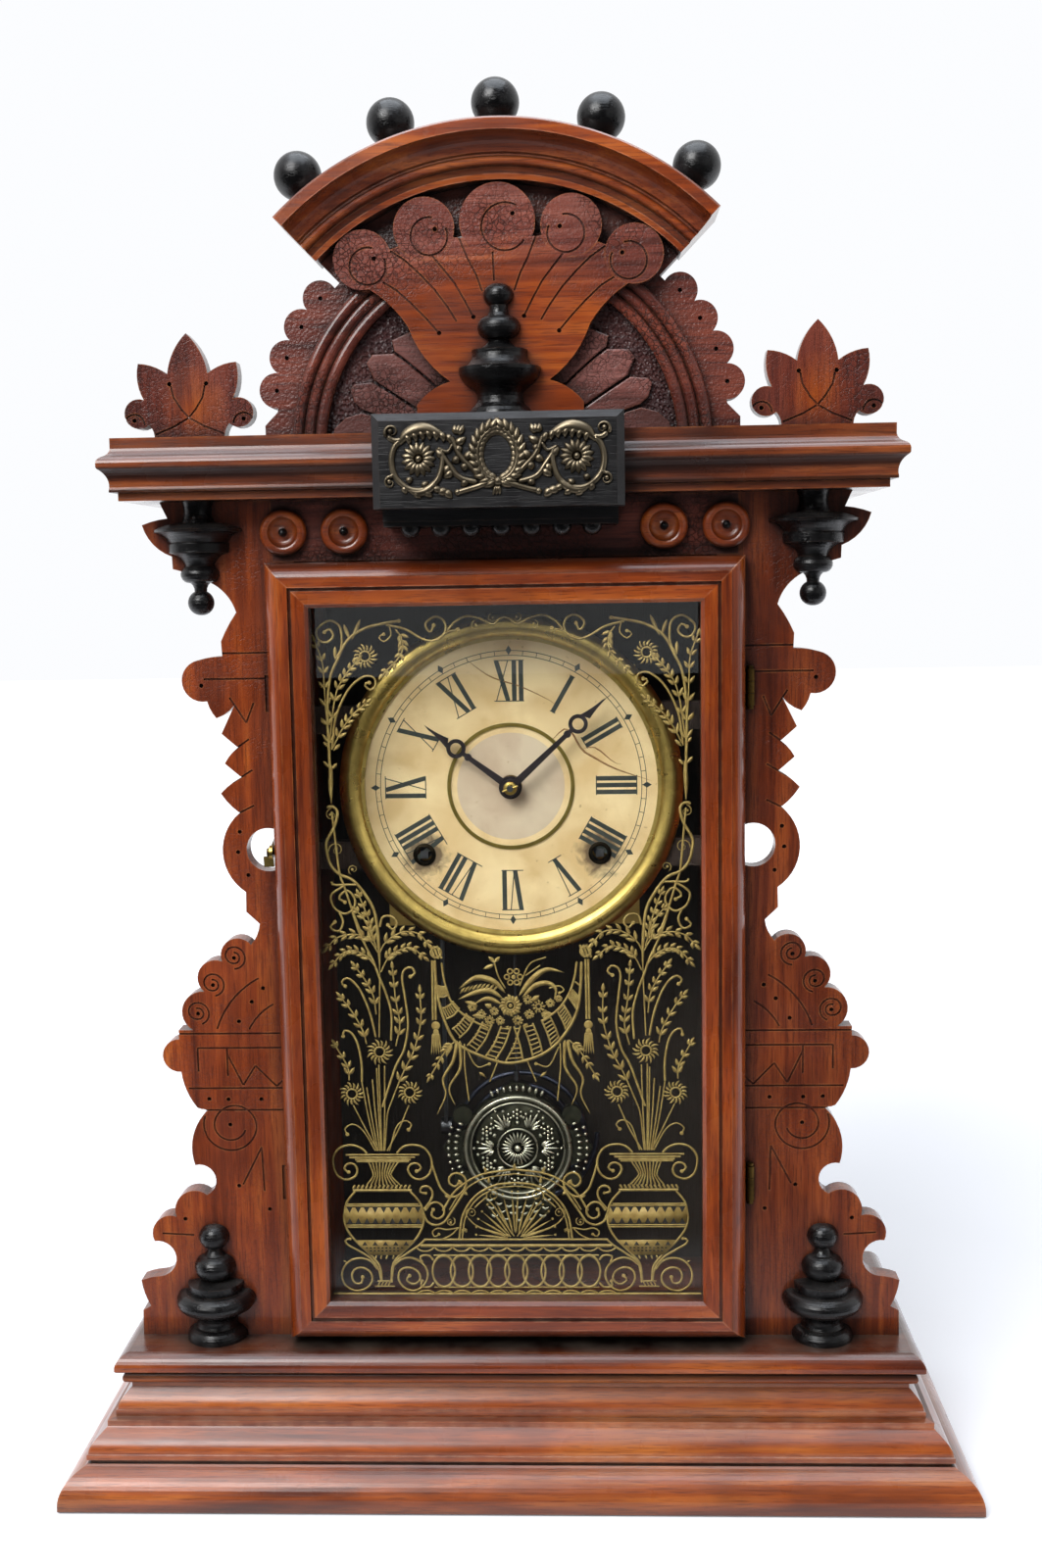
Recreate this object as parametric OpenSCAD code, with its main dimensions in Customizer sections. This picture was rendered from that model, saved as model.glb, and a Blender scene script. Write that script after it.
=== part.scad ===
// Shelf clock with a carved walnut case, a glazed door, an eight-day time and
// strike movement and a coiled gong. Millimetres, +Z up, the front faces -Y,
// and the origin is the middle of the footprint on the shelf.

/* [Base] */
// Height of the rounded lowest moulding
torus_h = 17; // [12:0.5:24]
// Height of the lower ogee moulding
lower_cyma_h = 14; // [10:0.5:20]
// Height of the upper ogee moulding with its bead
upper_cyma_h = 21.5; // [18:0.5:28]
// Thickness of the board that the case stands on
base_board_t = 7.5; // [6:0.5:12]
// Half the width of that board
base_board_half = 174; // [165:1:190]
// How far that board reaches in front of the origin
base_board_front = 46; // [42:1:56]
// How far the lowest moulding stands out beyond that board
torus_reach = 21; // [18:0.5:26]
// Thickness of the moulding walls round the hollow base
base_wall = 24; // [16:1:30]

/* [Case] */
// Half the outer width of the case box
case_half = 97; // [92:1:101]
// Thickness of the case sides
side_t = 9; // [6:0.5:12]
// Height of the case box above the base board
case_h = 364.4; // [340:0.2:390]
// Distance from the origin back to the rear face
back_y = 67; // [55:1:80]
// Thickness of the back board
back_t = 6; // [4:0.5:10]
// Distance from the origin forward to the face of the sawn boards
board_front = 24; // [18:0.5:28]
// Thickness of the sawn and carved boards
board_t = 9; // [6:0.5:12]
// Height of the frieze board under the cornice
frieze_h = 25.2; // [22:0.2:30]
// Width of the case edge that the sawn side boards are glued to
board_lap = 9; // [5:0.5:12]
// Height that the side boards' outline is drawn for
drawn_h = 364.4; // [364.4:0.1:364.5]
// Reach beyond the case that their outline is drawn for
drawn_reach = 77; // [77:0.1:77.1]
// Radius of the eye hole in each side board
eye_r = 9.3; // [7:0.1:10]
// Radius of the drilled eyes of the carving
dot_r = 0.9; // [0.6:0.1:1.4]
// Depth of the drilled eyes of the carving
dot_depth = 2; // [1:0.1:3]
// Width of the incised lines
line_w = 0.8; // [0.5:0.1:1.2]
// Depth of the incised lines
line_depth = 0.7; // [0.3:0.1:1.5]

/* [Cornice] */
// Half the width of the cornice at its lower edge
cornice_half = 155.2; // [150:0.2:165]
// How far the lower edge of the cornice reaches in front of the origin
cornice_front = 44; // [40:0.5:46]
// Height of the cornice
cornice_h = 25; // [22:0.5:30]
// Thickness of the cornice walls round the hollow
cornice_wall = 30; // [30:0.5:40]
// Thickness of the board that closes the case under the cornice
top_board_t = 8; // [5:0.5:12]
// Radius of a frieze rosette
rosette_r = 9.8; // [7:0.1:10.5]
// Thickness of a frieze rosette
rosette_t = 4.5; // [3:0.1:6]

/* [Plaque] */
// Half the width of the ebonised plaque
plaque_half = 49.4; // [44:0.2:54]
// Height of the plaque
plaque_h = 36.8; // [32:0.2:42]
// Thickness of the plaque
plaque_t = 13.2; // [10:0.2:16]
// Height of the plaque's top edge above the cornice
plaque_rise = 5.9; // [3:0.1:8]
// Height of the soffit block under the cornice
soffit_h = 12.4; // [9:0.2:16]
// Radius of the beads under the soffit
bead_r = 4; // [2.5:0.1:4.5]
// Distance between those beads
bead_pitch = 12.2; // [10:0.1:13]
// Thickness of the bronze ornament at its rim
bronze_t = 1.2; // [0.8:0.1:2]

/* [Crest] */
// Outer radius of the curved crest
crest_r = 125.5; // [120:0.5:130]
// Height of the crest's centre under the cornice's top
crest_drop = 5.4; // [3:0.1:8]
// How far the crest reaches in front of the origin
crest_front = 48; // [42:0.5:54]
// Angle from upright to the ends of the crest
crest_angle = 44.5; // [42:0.5:46]
// Depth of the crest's moulded section, along the radius
crest_band = 21; // [20:0.5:24]
// Radius of the crest balls
ball_r = 9.6; // [7:0.1:11]
// Angle between neighbouring crest balls
ball_step = 18.2; // [15:0.1:19]
// Outer radius of the reeded arch
arch_r = 86; // [82:0.5:87]
// Width of the reeded arch
arch_w = 14; // [11:0.5:16]
// Thickness of the reeded arch
arch_t = 5; // [3:0.5:7]
// Thickness of the fan
fan_t = 8; // [6:0.5:10]
// Thickness of the raised leaves
leaf_t = 2.2; // [1:0.1:3]
// Place of the crest board's face in front of the origin
crest_board_front = 26; // [22:0.5:30]
// Distance from the cornice's end in to the middle of each palmette
palmette_in = 27; // [24:0.2:32]
// Half the width of the crest's back board at its foot
tympanum_half = 97.5; // [92:0.5:99]
// Width of cornice that a full-size palmette takes up
palmette_span = 57.7; // [50:0.1:64]

/* [Turnings] */
// Distance from the case's side out to each hanging drop
drop_out = 30.5; // [26:0.5:36]
// Distance from the case's side out to each foot finial
finial_out = 36; // [33:0.5:42]

/* [Door] */
// How far the door reaches beyond each side of the case
door_lap = 2; // [0.5:0.5:4]
// Distance from the cornice down to the top of the door
door_head = 25.7; // [24:0.1:34]
// Gap between the base board and the door
door_lift = 3; // [1:0.1:5]
// Thickness of the door
door_t = 15.4; // [13:0.2:18]
// Gap between the closed door and the boards behind it
door_gap = 0.6; // [0.5:0.1:1.2]
// Width of the door frame's members
rail_w = 18.6; // [17:0.2:24]
// Thickness of the glass
glass_t = 2; // [1.5:0.1:3]
// Depth that the glass reaches into the frame
glass_bite = 3.6; // [2.5:0.1:4]
// Radius of the hinge knuckles
knuckle_r = 2; // [1.8:0.1:2.6]
// Radius of the hinge pins
hinge_pin_r = 0.9; // [0.7:0.05:1.1]
// Radial clearance of the hinge pins
pin_clear = 0.05; // [0.03:0.01:0.09]
// Height of each hinge
hinge_h = 15.2; // [12:0.2:22]
// Height of the lower hinge's foot above the base board
hinge_low = 62.4; // [40:0.2:90]
// Height of the upper hinge's foot above the base board
hinge_high = 276.6; // [250:0.2:300]
// Height of the door latch on the side board as drawn
latch_z = 217.5; // [215:0.5:219]
// Angle that the latch is raised at rest
latch_rest = 16; // [12:1:17]

/* [Dial] */
// Radius of the dial's brass rim
dial_r = 75; // [70:0.5:78]
// Inner radius of the dial's brass rim
dial_sight_r = 64; // [58:0.5:66]
// Distance from the cornice down to the dial's centre
dial_drop = 123.8; // [116:0.2:132]
// Thickness of the dial plate
dial_t = 1; // [0.6:0.1:1.6]
// Distance from the middle to each winding hole, sideways
wind_x = 38.5; // [36:0.5:40]
// Distance from the centre down to the winding holes
wind_drop = 29.8; // [28:0.2:32]
// Length of the hour hand
hour_len = 46; // [38:0.5:50]
// Length of the minute hand
minute_len = 57.5; // [50:0.5:62]
// Angle of the hour hand, clockwise from twelve
hour_angle = 306.6; // [0:0.1:359]
// Angle of the minute hand, clockwise from twelve
minute_angle = 47.2; // [0:0.1:359]
// Thickness of the hands
hand_t = 0.6; // [0.4:0.1:1]

/* [Movement] */
// Distance from the dial plate to the front plate of the movement
plate_gap = 11; // [10:0.5:13]
// Thickness of the movement plates
plate_t = 1.5; // [1:0.1:2.5]
// Distance between the movement plates
plate_space = 31.5; // [29:0.5:33]
// Half the width of the movement plates
plate_half = 56; // [54:1:58]
// Radius of the plate pillars
pillar_r = 3; // [2:0.1:4]
// Tooth module of the motion work
fine_mod = 0.8; // [0.75:0.05:0.85]
// Radius of the winding arbors
wind_arbor_r = 3; // [2.4:0.1:3.5]
// Thickness of a great wheel
wheel_t = 2; // [1:0.1:2.5]
// Radial gap of the arbors in their holes
arbor_clear = 0.08; // [0.05:0.01:0.1]
// Thickness of the mainspring strip
spring_t = 0.5; // [0.3:0.05:0.8]
// Distance from one mainspring turn to the next
spring_pitch = 2.6; // [2:0.1:2.8]
// Width of the mainspring strip
spring_w = 17; // [14:0.5:18]
// Number of mainspring turns
spring_turns = 8; // [5:1:9]

/* [Pendulum and gong] */
// Distance from the dial centre down to the pendulum's suspension
hang_drop = 19; // [18:0.5:22]
// Length of the pendulum from its suspension to the bob's centre
pendulum_len = 146.6; // [130:0.2:150]
// Radius of the pendulum rod
rod_r = 0.7; // [0.5:0.1:1]
// Radius of the pendulum bob's middle disc
bob_r = 25.5; // [20:0.5:28]
// Thickness of the pendulum bob
bob_t = 7; // [5:0.5:8]
// Height of the gong's centre above the base board
gong_z = 66; // [60:1:80]
// Inner radius of the gong coil
gong_r = 12; // [10:0.5:14]
// Distance from one gong turn to the next
gong_pitch = 6; // [5:0.2:6.4]
// Radius of the gong wire
gong_wire_r = 1.2; // [0.8:0.1:1.5]
// Number of gong turns
gong_turns = 4; // [3:1:4]

/* [Hidden] */
$fn = 48;

far = 500;
// Room for the glue between curved pieces
glue_gap = 0.12;
walnut = [0.45, 0.22, 0.11];
dark_walnut = [0.33, 0.16, 0.11];
ebony = [0.10, 0.10, 0.11];
pine = [0.72, 0.58, 0.38];
brass = [0.72, 0.58, 0.26];
bronze = [0.45, 0.38, 0.24];
steel = [0.45, 0.46, 0.48];
blued = [0.13, 0.12, 0.16];

// Heights of the base layers
lower_cyma_z = torus_h;
upper_cyma_z = lower_cyma_z + lower_cyma_h;
base_board_z = upper_cyma_z + upper_cyma_h;
base_h = base_board_z + base_board_t;
// The fillet over the lowest moulding stands out by this much
lower_fillet = torus_reach / 2;

// Heights and depths of the case
case_top = base_h + case_h;
board_back = board_front - board_t;
frieze_z = case_top - frieze_h;
back_in = back_y - back_t;
side_in = case_half - side_t;
// The side boards stretch with the case's height and spread with the base board
board_stretch = case_h / drawn_h;
board_spread = (base_board_half - case_half) / drawn_reach;
eye_x = case_half + 6 * board_spread;
drop_x = case_half + drop_out * board_spread;
finial_x = case_half + finial_out * board_spread;
palmette_size = (cornice_half - tympanum_half) / palmette_span;
palmette_x = cornice_half - palmette_in * palmette_size;
cornice_top = case_top + cornice_h;
cornice_nose = 6.8;

// The plaque hangs against the cornice's nose
plaque_back = cornice_front + cornice_nose + glue_gap;
plaque_front = plaque_back + plaque_t;
plaque_top = cornice_top + plaque_rise;
plaque_mid = plaque_top - plaque_h / 2;

// The crest, arch and leaves share one centre
crest_z = cornice_top - crest_drop;
crest_in = crest_r - crest_band;
fan_front = crest_board_front + fan_t;
crest_board_t = board_t;
crest_board_back = crest_board_front - crest_board_t;
ball_ring = crest_r + ball_r - 0.8;
ball_y = -(crest_front + crest_board_back) / 2;

// The door closes in front of the boards
door_back = board_front + door_gap;
door_front = door_back + door_t;
door_z = base_h + door_lift;
door_top = case_top - door_head;
door_h = door_top - door_z;
door_half = case_half + door_lap;
glass_back = door_back + 4.4;
glass_front = glass_back + glass_t;
glass_half = door_half - rail_w + glass_bite;
hinge_x = door_half + knuckle_r + 0.4;
hinge_y = -board_front - knuckle_r;
leaf_plate = 0.9;
latch_pivot_y = -door_back - 6.4;
latch_pivot_z = base_h + latch_z * board_stretch;
latch_x = -door_half - 0.6;
latch_plate = 1.4;

// The dial's face is at this depth, and the movement is behind it
dial_face = 0;
dial_cz = case_top - dial_drop;
wind_z = dial_cz - wind_drop;
dial_back = dial_face + dial_t;
plate_front = dial_back + plate_gap;
plate_in = plate_front + plate_t;
back_plate_y = plate_in + plate_space;
plate_low = dial_cz - 64;
plate_high = dial_cz + 50;
pillar_x = plate_half - 6;
pillar_zs = [plate_low + 6, plate_high - 6];

// Going train: the great wheel drives a second wheel, and that the centre arbor
great_teeth = 64;
great_leaves = 8;
great_mod = 0.8;
great_reach = great_mod * (great_teeth + great_leaves) / 2;
second_teeth = 60;
second_leaves = 10;
second_mod = 0.6;
second_reach = second_mod * (second_teeth + second_leaves) / 2;
// The second arbor lies at those two distances from the winding arbor and the centre
wind_reach = norm([wind_x, wind_drop]);
second_along = (wind_reach ^ 2 + great_reach ^ 2 - second_reach ^ 2) / (2 * wind_reach);
second_aside = sqrt(great_reach ^ 2 - second_along ^ 2);
time_aim = atan2(wind_drop, -wind_x);
second_at = [wind_x, wind_z] + second_along * [cos(time_aim), sin(time_aim)]
    + second_aside * [sin(time_aim), -cos(time_aim)];
pin_wheel_angle = 75;
pin_wheel_at = [-wind_x + great_reach * cos(pin_wheel_angle),
    wind_z + great_reach * sin(pin_wheel_angle)];
great_y = back_plate_y - 2 - wheel_t;
second_y = plate_in + spring_w + 3.5;
pin_ring = 15;

// Motion work: 10 drives 30, and 8 drives 32, so that the hands run twelve to one
cannon_teeth = 10;
minute_teeth = 30;
minute_leaves = 8;
hour_teeth = 32;
motion_reach = fine_mod * (cannon_teeth + minute_teeth) / 2;
motion_at = [0, dial_cz + motion_reach];
hour_wheel_y = dial_back + 2.4;
hour_wheel_t = 1.4;
cannon_y = hour_wheel_y + hour_wheel_t + 1.2;
cannon_t = 2;
centre_r = 1.3;
pipe_r = 2.3;
hour_pipe_r = 3.4;
hour_hand_y = -4.6;
minute_hand_y = hour_hand_y - hand_t - 1.4;

// Escapement and pendulum
hang_z = dial_cz - hang_drop;
pendulum_y = plate_front - 3.6;
bob_z = hang_z - pendulum_len;
bob_crown = bob_r + 5;
verge_z = hang_z - 1.6;
escape_r = 12.5;
escape_z = verge_z - escape_r - 8;
escape_y = plate_in + 7;

crutch_len = 15;
fork_half = rod_r + 1.3;

// Gong on the back board
gong_cz = base_h + gong_z;
gong_stem = 6;
gong_y = back_in - 9;
gong_left = gong_r + (2 * gong_turns - 2) * gong_pitch / 2 + gong_wire_r;
hammer_x = -gong_left - 4.8;
hammer_z = plate_high - 31;
hammer_y = back_plate_y + plate_t + 2;

// Points on an arc from a to b, without a, that bows h to the right of the way
function bow(a, b, h, n = 8) =
    let (chord = norm(b - a), sweep = 4 * atan(2 * h / chord), aim = atan2(b.y - a.y, b.x - a.x))
    [for (i = [1 : n])
        let (part = i * sweep / n, turn = aim - sweep / 2 + part / 2)
        a + chord * sin(part / 2) / sin(sweep / 2) * [cos(turn), sin(turn)]];

// Points of one arc about a centre
function arc(centre, r, from, to, n = 8) =
    [for (i = [0 : n]) let (a = from + (to - from) * i / n) centre + r * [cos(a), sin(a)]];

// A flat piece seen from the front, whose face is y_front before the origin
module panel(y_front, t) {
    translate([0, t - y_front, 0]) rotate([90, 0, 0]) linear_extrude(t) children();
}

// The same shape on both sides of the clock
module both() {
    children();
    mirror([1, 0, 0]) children();
}

// A three-sided mitred moulding: the outline gives how far it stands out and its height
module moulding(outline, half, front, wall) {
    low = outline[0].y;
    high = outline[len(outline) - 1].y;
    difference() {
        intersection() {
            rotate([90, 0, 90]) linear_extrude(2 * far, center = true)
                polygon(concat([[back_y, low]], [for (p = outline) [-front - p.x, p.y]],
                    [[back_y, high]]));
            rotate([90, 0, 0]) linear_extrude(2 * far, center = true)
                polygon(concat([for (p = outline) [half + p.x, p.y]],
                    [for (i = [len(outline) - 1 : -1 : 0]) [-half - outline[i].x, outline[i].y]]));
        }
        if (wall > 0)
            translate([-half + wall, -front + wall, low - 1])
                cube([2 * (half - wall), far, high - low + 2]);
    }
}

// A turned piece, split down its axis and glued by its flat back
module split_turning(outline, x, y, z) {
    translate([x, y, z]) difference() {
        rotate_extrude() polygon(outline);
        translate([-far / 2, 0, -far / 2]) cube([far, far, far]);
    }
}

// An incised line on a face that is y_front before the origin
module cut_line(a, b, y_front) {
    span = norm(b - a);
    translate([a.x, -y_front, a.y]) rotate([0, -atan2(b.y - a.y, b.x - a.x), 0])
        translate([0, -1, -line_w / 2]) cube([span, 1 + line_depth, line_w]);
}

// Incised lines from place to place, at heights over z
module cut_path(path, z, y_front) {
    for (i = [1 : len(path) - 1]) cut_line(path[i - 1] + [0, z], path[i] + [0, z], y_front);
}

// An incised arc about a centre, from one angle to another, anticlockwise
module cut_arc(centre, r, from, to, y_front) {
    translate([centre.x, line_depth - y_front, centre.y]) rotate([90, 0, 0])
        rotate([0, 0, from]) rotate_extrude(angle = to - from)
            translate([r - line_w / 2, 0]) square([line_w, 1 + line_depth]);
}

// A drilled eye on a face that is y_front before the origin
module cut_dot(at, y_front) {
    translate([at.x, dot_depth - y_front, at.y]) rotate([90, 0, 0])
        cylinder(r = dot_r, h = dot_depth + 1, $fn = 24);
}

// An incised spiral of half-turns that grows outwards from its eye
module cut_spiral(eye, r, grow, halves, start, y_front) {
    for (i = [0 : halves - 1]) {
        shift = i % 2 == 0 ? 0 : grow;
        cut_arc(eye + shift * [cos(start), sin(start)], r + i * grow,
            start + 180 * (i % 2), start + 180 * (i % 2) + 180, y_front);
    }
}

module base_torus_moulding() {
    round_r = torus_h - 3;
    outline = concat([[torus_reach - 1, 0], [torus_reach, 1]],
        arc([torus_reach - round_r, 3], round_r, 0, 72, 10),
        [[lower_fillet, torus_h]]);
    color(dark_walnut) moulding(outline, base_board_half, base_board_front, base_wall);
}

module base_lower_cyma() {
    z = lower_cyma_z;
    top = upper_cyma_z;
    outline = concat([[lower_fillet - 1.4, z], [lower_fillet - 1.4, z + 1.2],
        [lower_fillet, z + 1.6], [lower_fillet, z + 4.2], [lower_fillet - 0.8, z + 4.6]],
        bow([lower_fillet - 0.8, z + 4.6], [6.6, z + 8.4], 0.8, 5),
        bow([6.6, z + 8.4], [3, top - 1.6], -0.9, 6), [[3, top]]);
    color(dark_walnut) moulding(outline, base_board_half, base_board_front, base_wall);
}

module base_upper_cyma() {
    z = upper_cyma_z;
    top = base_board_z;
    outline = concat([[3, z], [3, z + 1.6], [0, z + 2.2], [0, z + 5], [-0.8, z + 5.4]],
        bow([-0.8, z + 5.4], [-2.8, z + 9.2], 0.9, 5),
        bow([-2.8, z + 9.2], [-5.4, z + 13], -0.8, 5),
        [[-5.4, z + 15]], bow([-4.6, z + 15.4], [-4.6, top - 0.8], 2.5, 10),
        [[-5.4, top - 0.5], [-5.4, top]]);
    color(walnut) moulding(outline, base_board_half, base_board_front, base_wall);
}

module base_top_board() {
    z = base_board_z;
    outline = concat([[-0.6, z], [0, z + 0.6], [0, z + 2.4]],
        bow([0, z + 2.4], [-5.2, base_h], 1.1, 6));
    color(dark_walnut) moulding(outline, base_board_half, base_board_front, 0);
}

module case_sides() {
    color(walnut) both() translate([side_in, -board_back, base_h])
        cube([side_t, board_back + back_in, case_h]);
}

module case_back_board() {
    color(pine) translate([-case_half, back_in, base_h]) cube([2 * case_half, back_t, case_h]);
}

// Rough pine inside: the rail under the door, the dial's cleats, the base's back rail
// and the board that closes the case under the cornice
module pine_inner_pieces() {
    lap = case_half - board_lap;
    cleat_x = dial_r * 0.83;
    color(pine) {
        translate([-lap, -board_front, base_h]) cube([2 * lap, board_t, 14]);
        both() for (dz = [-36, 24])
            translate([cleat_x, dial_back, dial_cz + dz]) cube([side_in - cleat_x, 9, 12]);
        translate([base_wall - base_board_half, back_y - 14, 0])
            cube([2 * (base_board_half - base_wall), 14, base_board_z]);
        translate([cornice_wall - cornice_half, cornice_wall - cornice_front, case_top])
            cube([2 * (cornice_half - cornice_wall), back_y + cornice_front - cornice_wall,
                top_board_t]);
    }
}

module frieze_board() {
    color(dark_walnut) panel(board_front, board_t)
        translate([-case_half, frieze_z]) square([2 * case_half, frieze_h]);
}

// A point of the right-hand board as drawn: out from the case's side, and up
function spot(x, z) = [case_half + x * board_spread, base_h + z * board_stretch];

// Outline of the right-hand sawn board, up its outer edge from the foot
module scroll_outline() {
    lap = board_lap / board_spread;
    frieze = (frieze_z - base_h) / board_stretch;
    translate([case_half, base_h]) scale([board_spread, board_stretch])
        polygon(concat([[-lap, 0], [69.4, 0], [69.2, 11.3], [65.6, 13.2]],
            bow([65.6, 13.2], [69.4, 25.1], 0.6, 4),
            bow([69.4, 25.1], [60.7, 27], 0.4, 3),
            bow([60.7, 27], [62.7, 43.2], -8.4, 14),
            bow([62.7, 43.2], [52.5, 54.4], 5, 10),
            bow([52.5, 54.4], [38.5, 64.3], 6.4, 12),
            bow([38.5, 64.3], [43.2, 77.9], -6.6, 12),
            bow([43.2, 77.9], [37.1, 102.4], 3.6, 10),
            [[41.2, 103.9]],
            bow([41.2, 103.9], [47.6, 120], 1.2, 6),
            bow([47.6, 120], [48, 134.6], 7.6, 12),
            [[48, 138.6], [41.6, 138.6]],
            bow([41.6, 138.6], [36.2, 155.7], 7.2, 12),
            bow([36.2, 155.7], [27.8, 168.9], 6.6, 12),
            bow([27.8, 168.9], [15, 176.1], 6.4, 12),
            bow([15, 176.1], [10.9, 185.3], -0.8, 4),
            [[16.5, 190.6], [16.3, 199.2]],
            bow([16.3, 199.2], [17.8, 233.5], 8.6, 14),
            bow([17.8, 233.5], [25.5, 241.9], 0.5, 3),
            bow([25.5, 241.9], [16.5, 248.8], 0.5, 3),
            [[23.3, 254.7]],
            bow([23.3, 254.7], [17.5, 261.5], 0.5, 3),
            [[24.2, 267.4], [18.2, 279.6]],
            bow([18.2, 279.6], [26.1, 274], 0.8, 3),
            bow([26.1, 274], [29.8, 281.2], 0.5, 3),
            bow([29.8, 281.2], [33.1, 298.6], 8.8, 14),
            bow([33.1, 298.6], [22.6, 300.1], 0.4, 3),
            [[22.9, 306.4]],
            bow([22.9, 306.4], [16, 318.4], 0.4, 3),
            bow([16, 318.4], [26.7, 331.2], -1.8, 8),
            bow([26.7, 331.2], [42, 336.9], -0.5, 4),
            [[42.2, 342.1]],
            bow([42.2, 342.1], [54.3, 355.3], 2.2, 6),
            bow([54.3, 355.3], [43.5, 357.9], 0.4, 3),
            [[46.5, drawn_h], [0, drawn_h], [0, frieze], [-lap, frieze]]));
}

// The right-hand board with its eye hole and incised work
module scroll_board() {
    y = board_front;
    edge = 1;
    eye = [eye_x, latch_pivot_z];
    hinge_in = hinge_x - 12;
    difference() {
        panel(board_front, board_t) difference() {
            scroll_outline();
            translate(eye) circle(r = eye_r);
        }
        for (at = [spot(22.6, 170.4), spot(32.2, 158.5), spot(39.2, 145.9),
            spot(10.5, 157), spot(15.6, 151), spot(21.5, 142.4),
            spot(13, 107.6), spot(27.4, 107.6), spot(35.8, 107.8), spot(27, 96.2),
            spot(24.2, 68.5), spot(11, 57.8), spot(48.6, 53.4),
            spot(18, 225.4), spot(19, 216.6), spot(15, 206.6), spot(32, 287.9)])
            cut_dot(at, y);
        cut_spiral(spot(22.6, 170.4), 2.4, 1.2, 3, 90, y);
        cut_spiral(spot(32.2, 158.5), 2.4, 1.2, 3, 80, y);
        cut_spiral(spot(39.2, 145.9), 2.4, 1.2, 3, 70, y);
        cut_arc(spot(-6, 127), 39, 18, 62, y);
        cut_arc(spot(-6, 127), 26, 27, 62, y);
        cut_line(spot(edge, 137), spot(48, 137), y);
        cut_line(spot(edge, 130.6), spot(40, 130.6), y);
        cut_line(spot(edge, 112.6), spot(44.6, 112.6), y);
        cut_line(spot(edge, 102.8), spot(40, 102.8), y);
        cut_line(spot(40, 130.6), spot(40, 120), y);
        cut_line(spot(27.2, 130.6), spot(27.2, 118), y);
        cut_line(spot(edge, 118), spot(6, 113.4), y);
        cut_line(spot(6, 113.4), spot(15, 122.6), y);
        cut_line(spot(15, 122.6), spot(20.6, 114), y);
        cut_line(spot(20.6, 114), spot(27.2, 128), y);
        cut_spiral(spot(27, 96.2), 7, 2.3, 3, 200, y);
        cut_line(spot(13.6, 86), spot(13, 66), y);
        cut_line(spot(13.6, 86), spot(22.4, 69), y);
        cut_line(spot(45, 46), spot(59, 46.8), y);
        cut_line(spot(edge, 301.4), spot(22.6, 301.4), y);
        cut_line(spot(edge, 290.6), spot(31, 290.6), y);
        cut_line(spot(20, 246.7), spot(11.6, 251.8), y);
        cut_line(spot(21, 259), spot(12.6, 265), y);
        cut_line(spot(21, 232), spot(11.4, 236.6), y);
        cut_line(spot(20.2, 282.7), spot(13.4, 272), y);
        cut_line(spot(13.4, 272), spot(10, 280.4), y);
        for (low = [hinge_low, hinge_high])
            translate([hinge_in, -y - 1, base_h + low - 0.2])
                cube([12.6, 1 + leaf_plate + 0.1, hinge_h + 0.4]);
    }
}

module left_scroll_board() {
    color(walnut) mirror([1, 0, 0]) scroll_board();
}

module right_scroll_board() {
    color(walnut) scroll_board();
}

module cornice_moulding() {
    z = case_top;
    top = cornice_top;
    nose = cornice_nose;
    outline = concat([[0, z], [0, z + 3], [2.9, z + 3.4], [2.9, z + 4.2]],
        bow([2.9, z + 4.2], [nose - 0.4, z + 12.6], -1.5, 8),
        [[nose, z + 13.2], [nose, z + 14]],
        bow([nose, z + 14], [4.6, z + 17.6], 0.8, 5),
        bow([4.6, z + 17.6], [2, z + 20.8], -0.6, 4),
        [[2, top]]);
    color(dark_walnut) moulding(outline, cornice_half, cornice_front, cornice_wall);
}

// A dished rosette with a raised rim and a pin in the middle
module rosette() {
    color(walnut) rotate([90, 0, 0]) rotate_extrude()
        polygon(concat([[0, 0], [rosette_r - 0.8, 0]],
            bow([rosette_r - 0.8, 0], [rosette_r, 1.6], 0.3, 3),
            bow([rosette_r, 1.6], [rosette_r - 3.4, rosette_t - 0.4], 1.3, 8),
            bow([rosette_r - 3.4, rosette_t - 0.4], [1.6, rosette_t - 2.2], -1, 8),
            [[1.2, rosette_t - 2.2]],
            bow([1.2, rosette_t - 2.2], [0, rosette_t - 1], 0.5, 4)));
}

module frieze_rosettes() {
    both() for (x = [case_half - 30.8, case_half - 5.3])
        translate([x, -board_front, frieze_z + frieze_h / 2 - 0.6]) rosette();
}

module plaque_block() {
    bevel = 3;
    color(ebony) intersection() {
        translate([-plaque_half, -plaque_front, plaque_top - plaque_h])
            cube([2 * plaque_half, plaque_t, plaque_h]);
        linear_extrude(far * 2)
            polygon([[-plaque_half, -plaque_back], [-plaque_half, bevel - plaque_front],
                [bevel - plaque_half, -plaque_front], [plaque_half - bevel, -plaque_front],
                [plaque_half, bevel - plaque_front], [plaque_half, -plaque_back]]);
        rotate([90, 0, 90]) linear_extrude(far, center = true)
            polygon([[-plaque_back, 0], [-plaque_front, 0], [-plaque_front, plaque_top - bevel],
                [bevel - plaque_front, plaque_top], [-plaque_back, plaque_top]]);
    }
}

// A flat bronze scroll of half-turns that opens outwards
module bronze_scroll(eye, r, grow, halves, start, w, h) {
    translate([eye.x, -plaque_front, eye.y]) rotate([90, 0, 0])
        for (i = [0 : halves - 1]) {
            shift = i % 2 == 0 ? 0 : grow;
            translate(shift * [cos(start), sin(start)]) rotate([0, 0, start + 180 * (i % 2)])
                rotate_extrude(angle = 180) translate([r + i * grow - w / 2, 0])
                    square([w, h]);
        }
}

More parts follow.
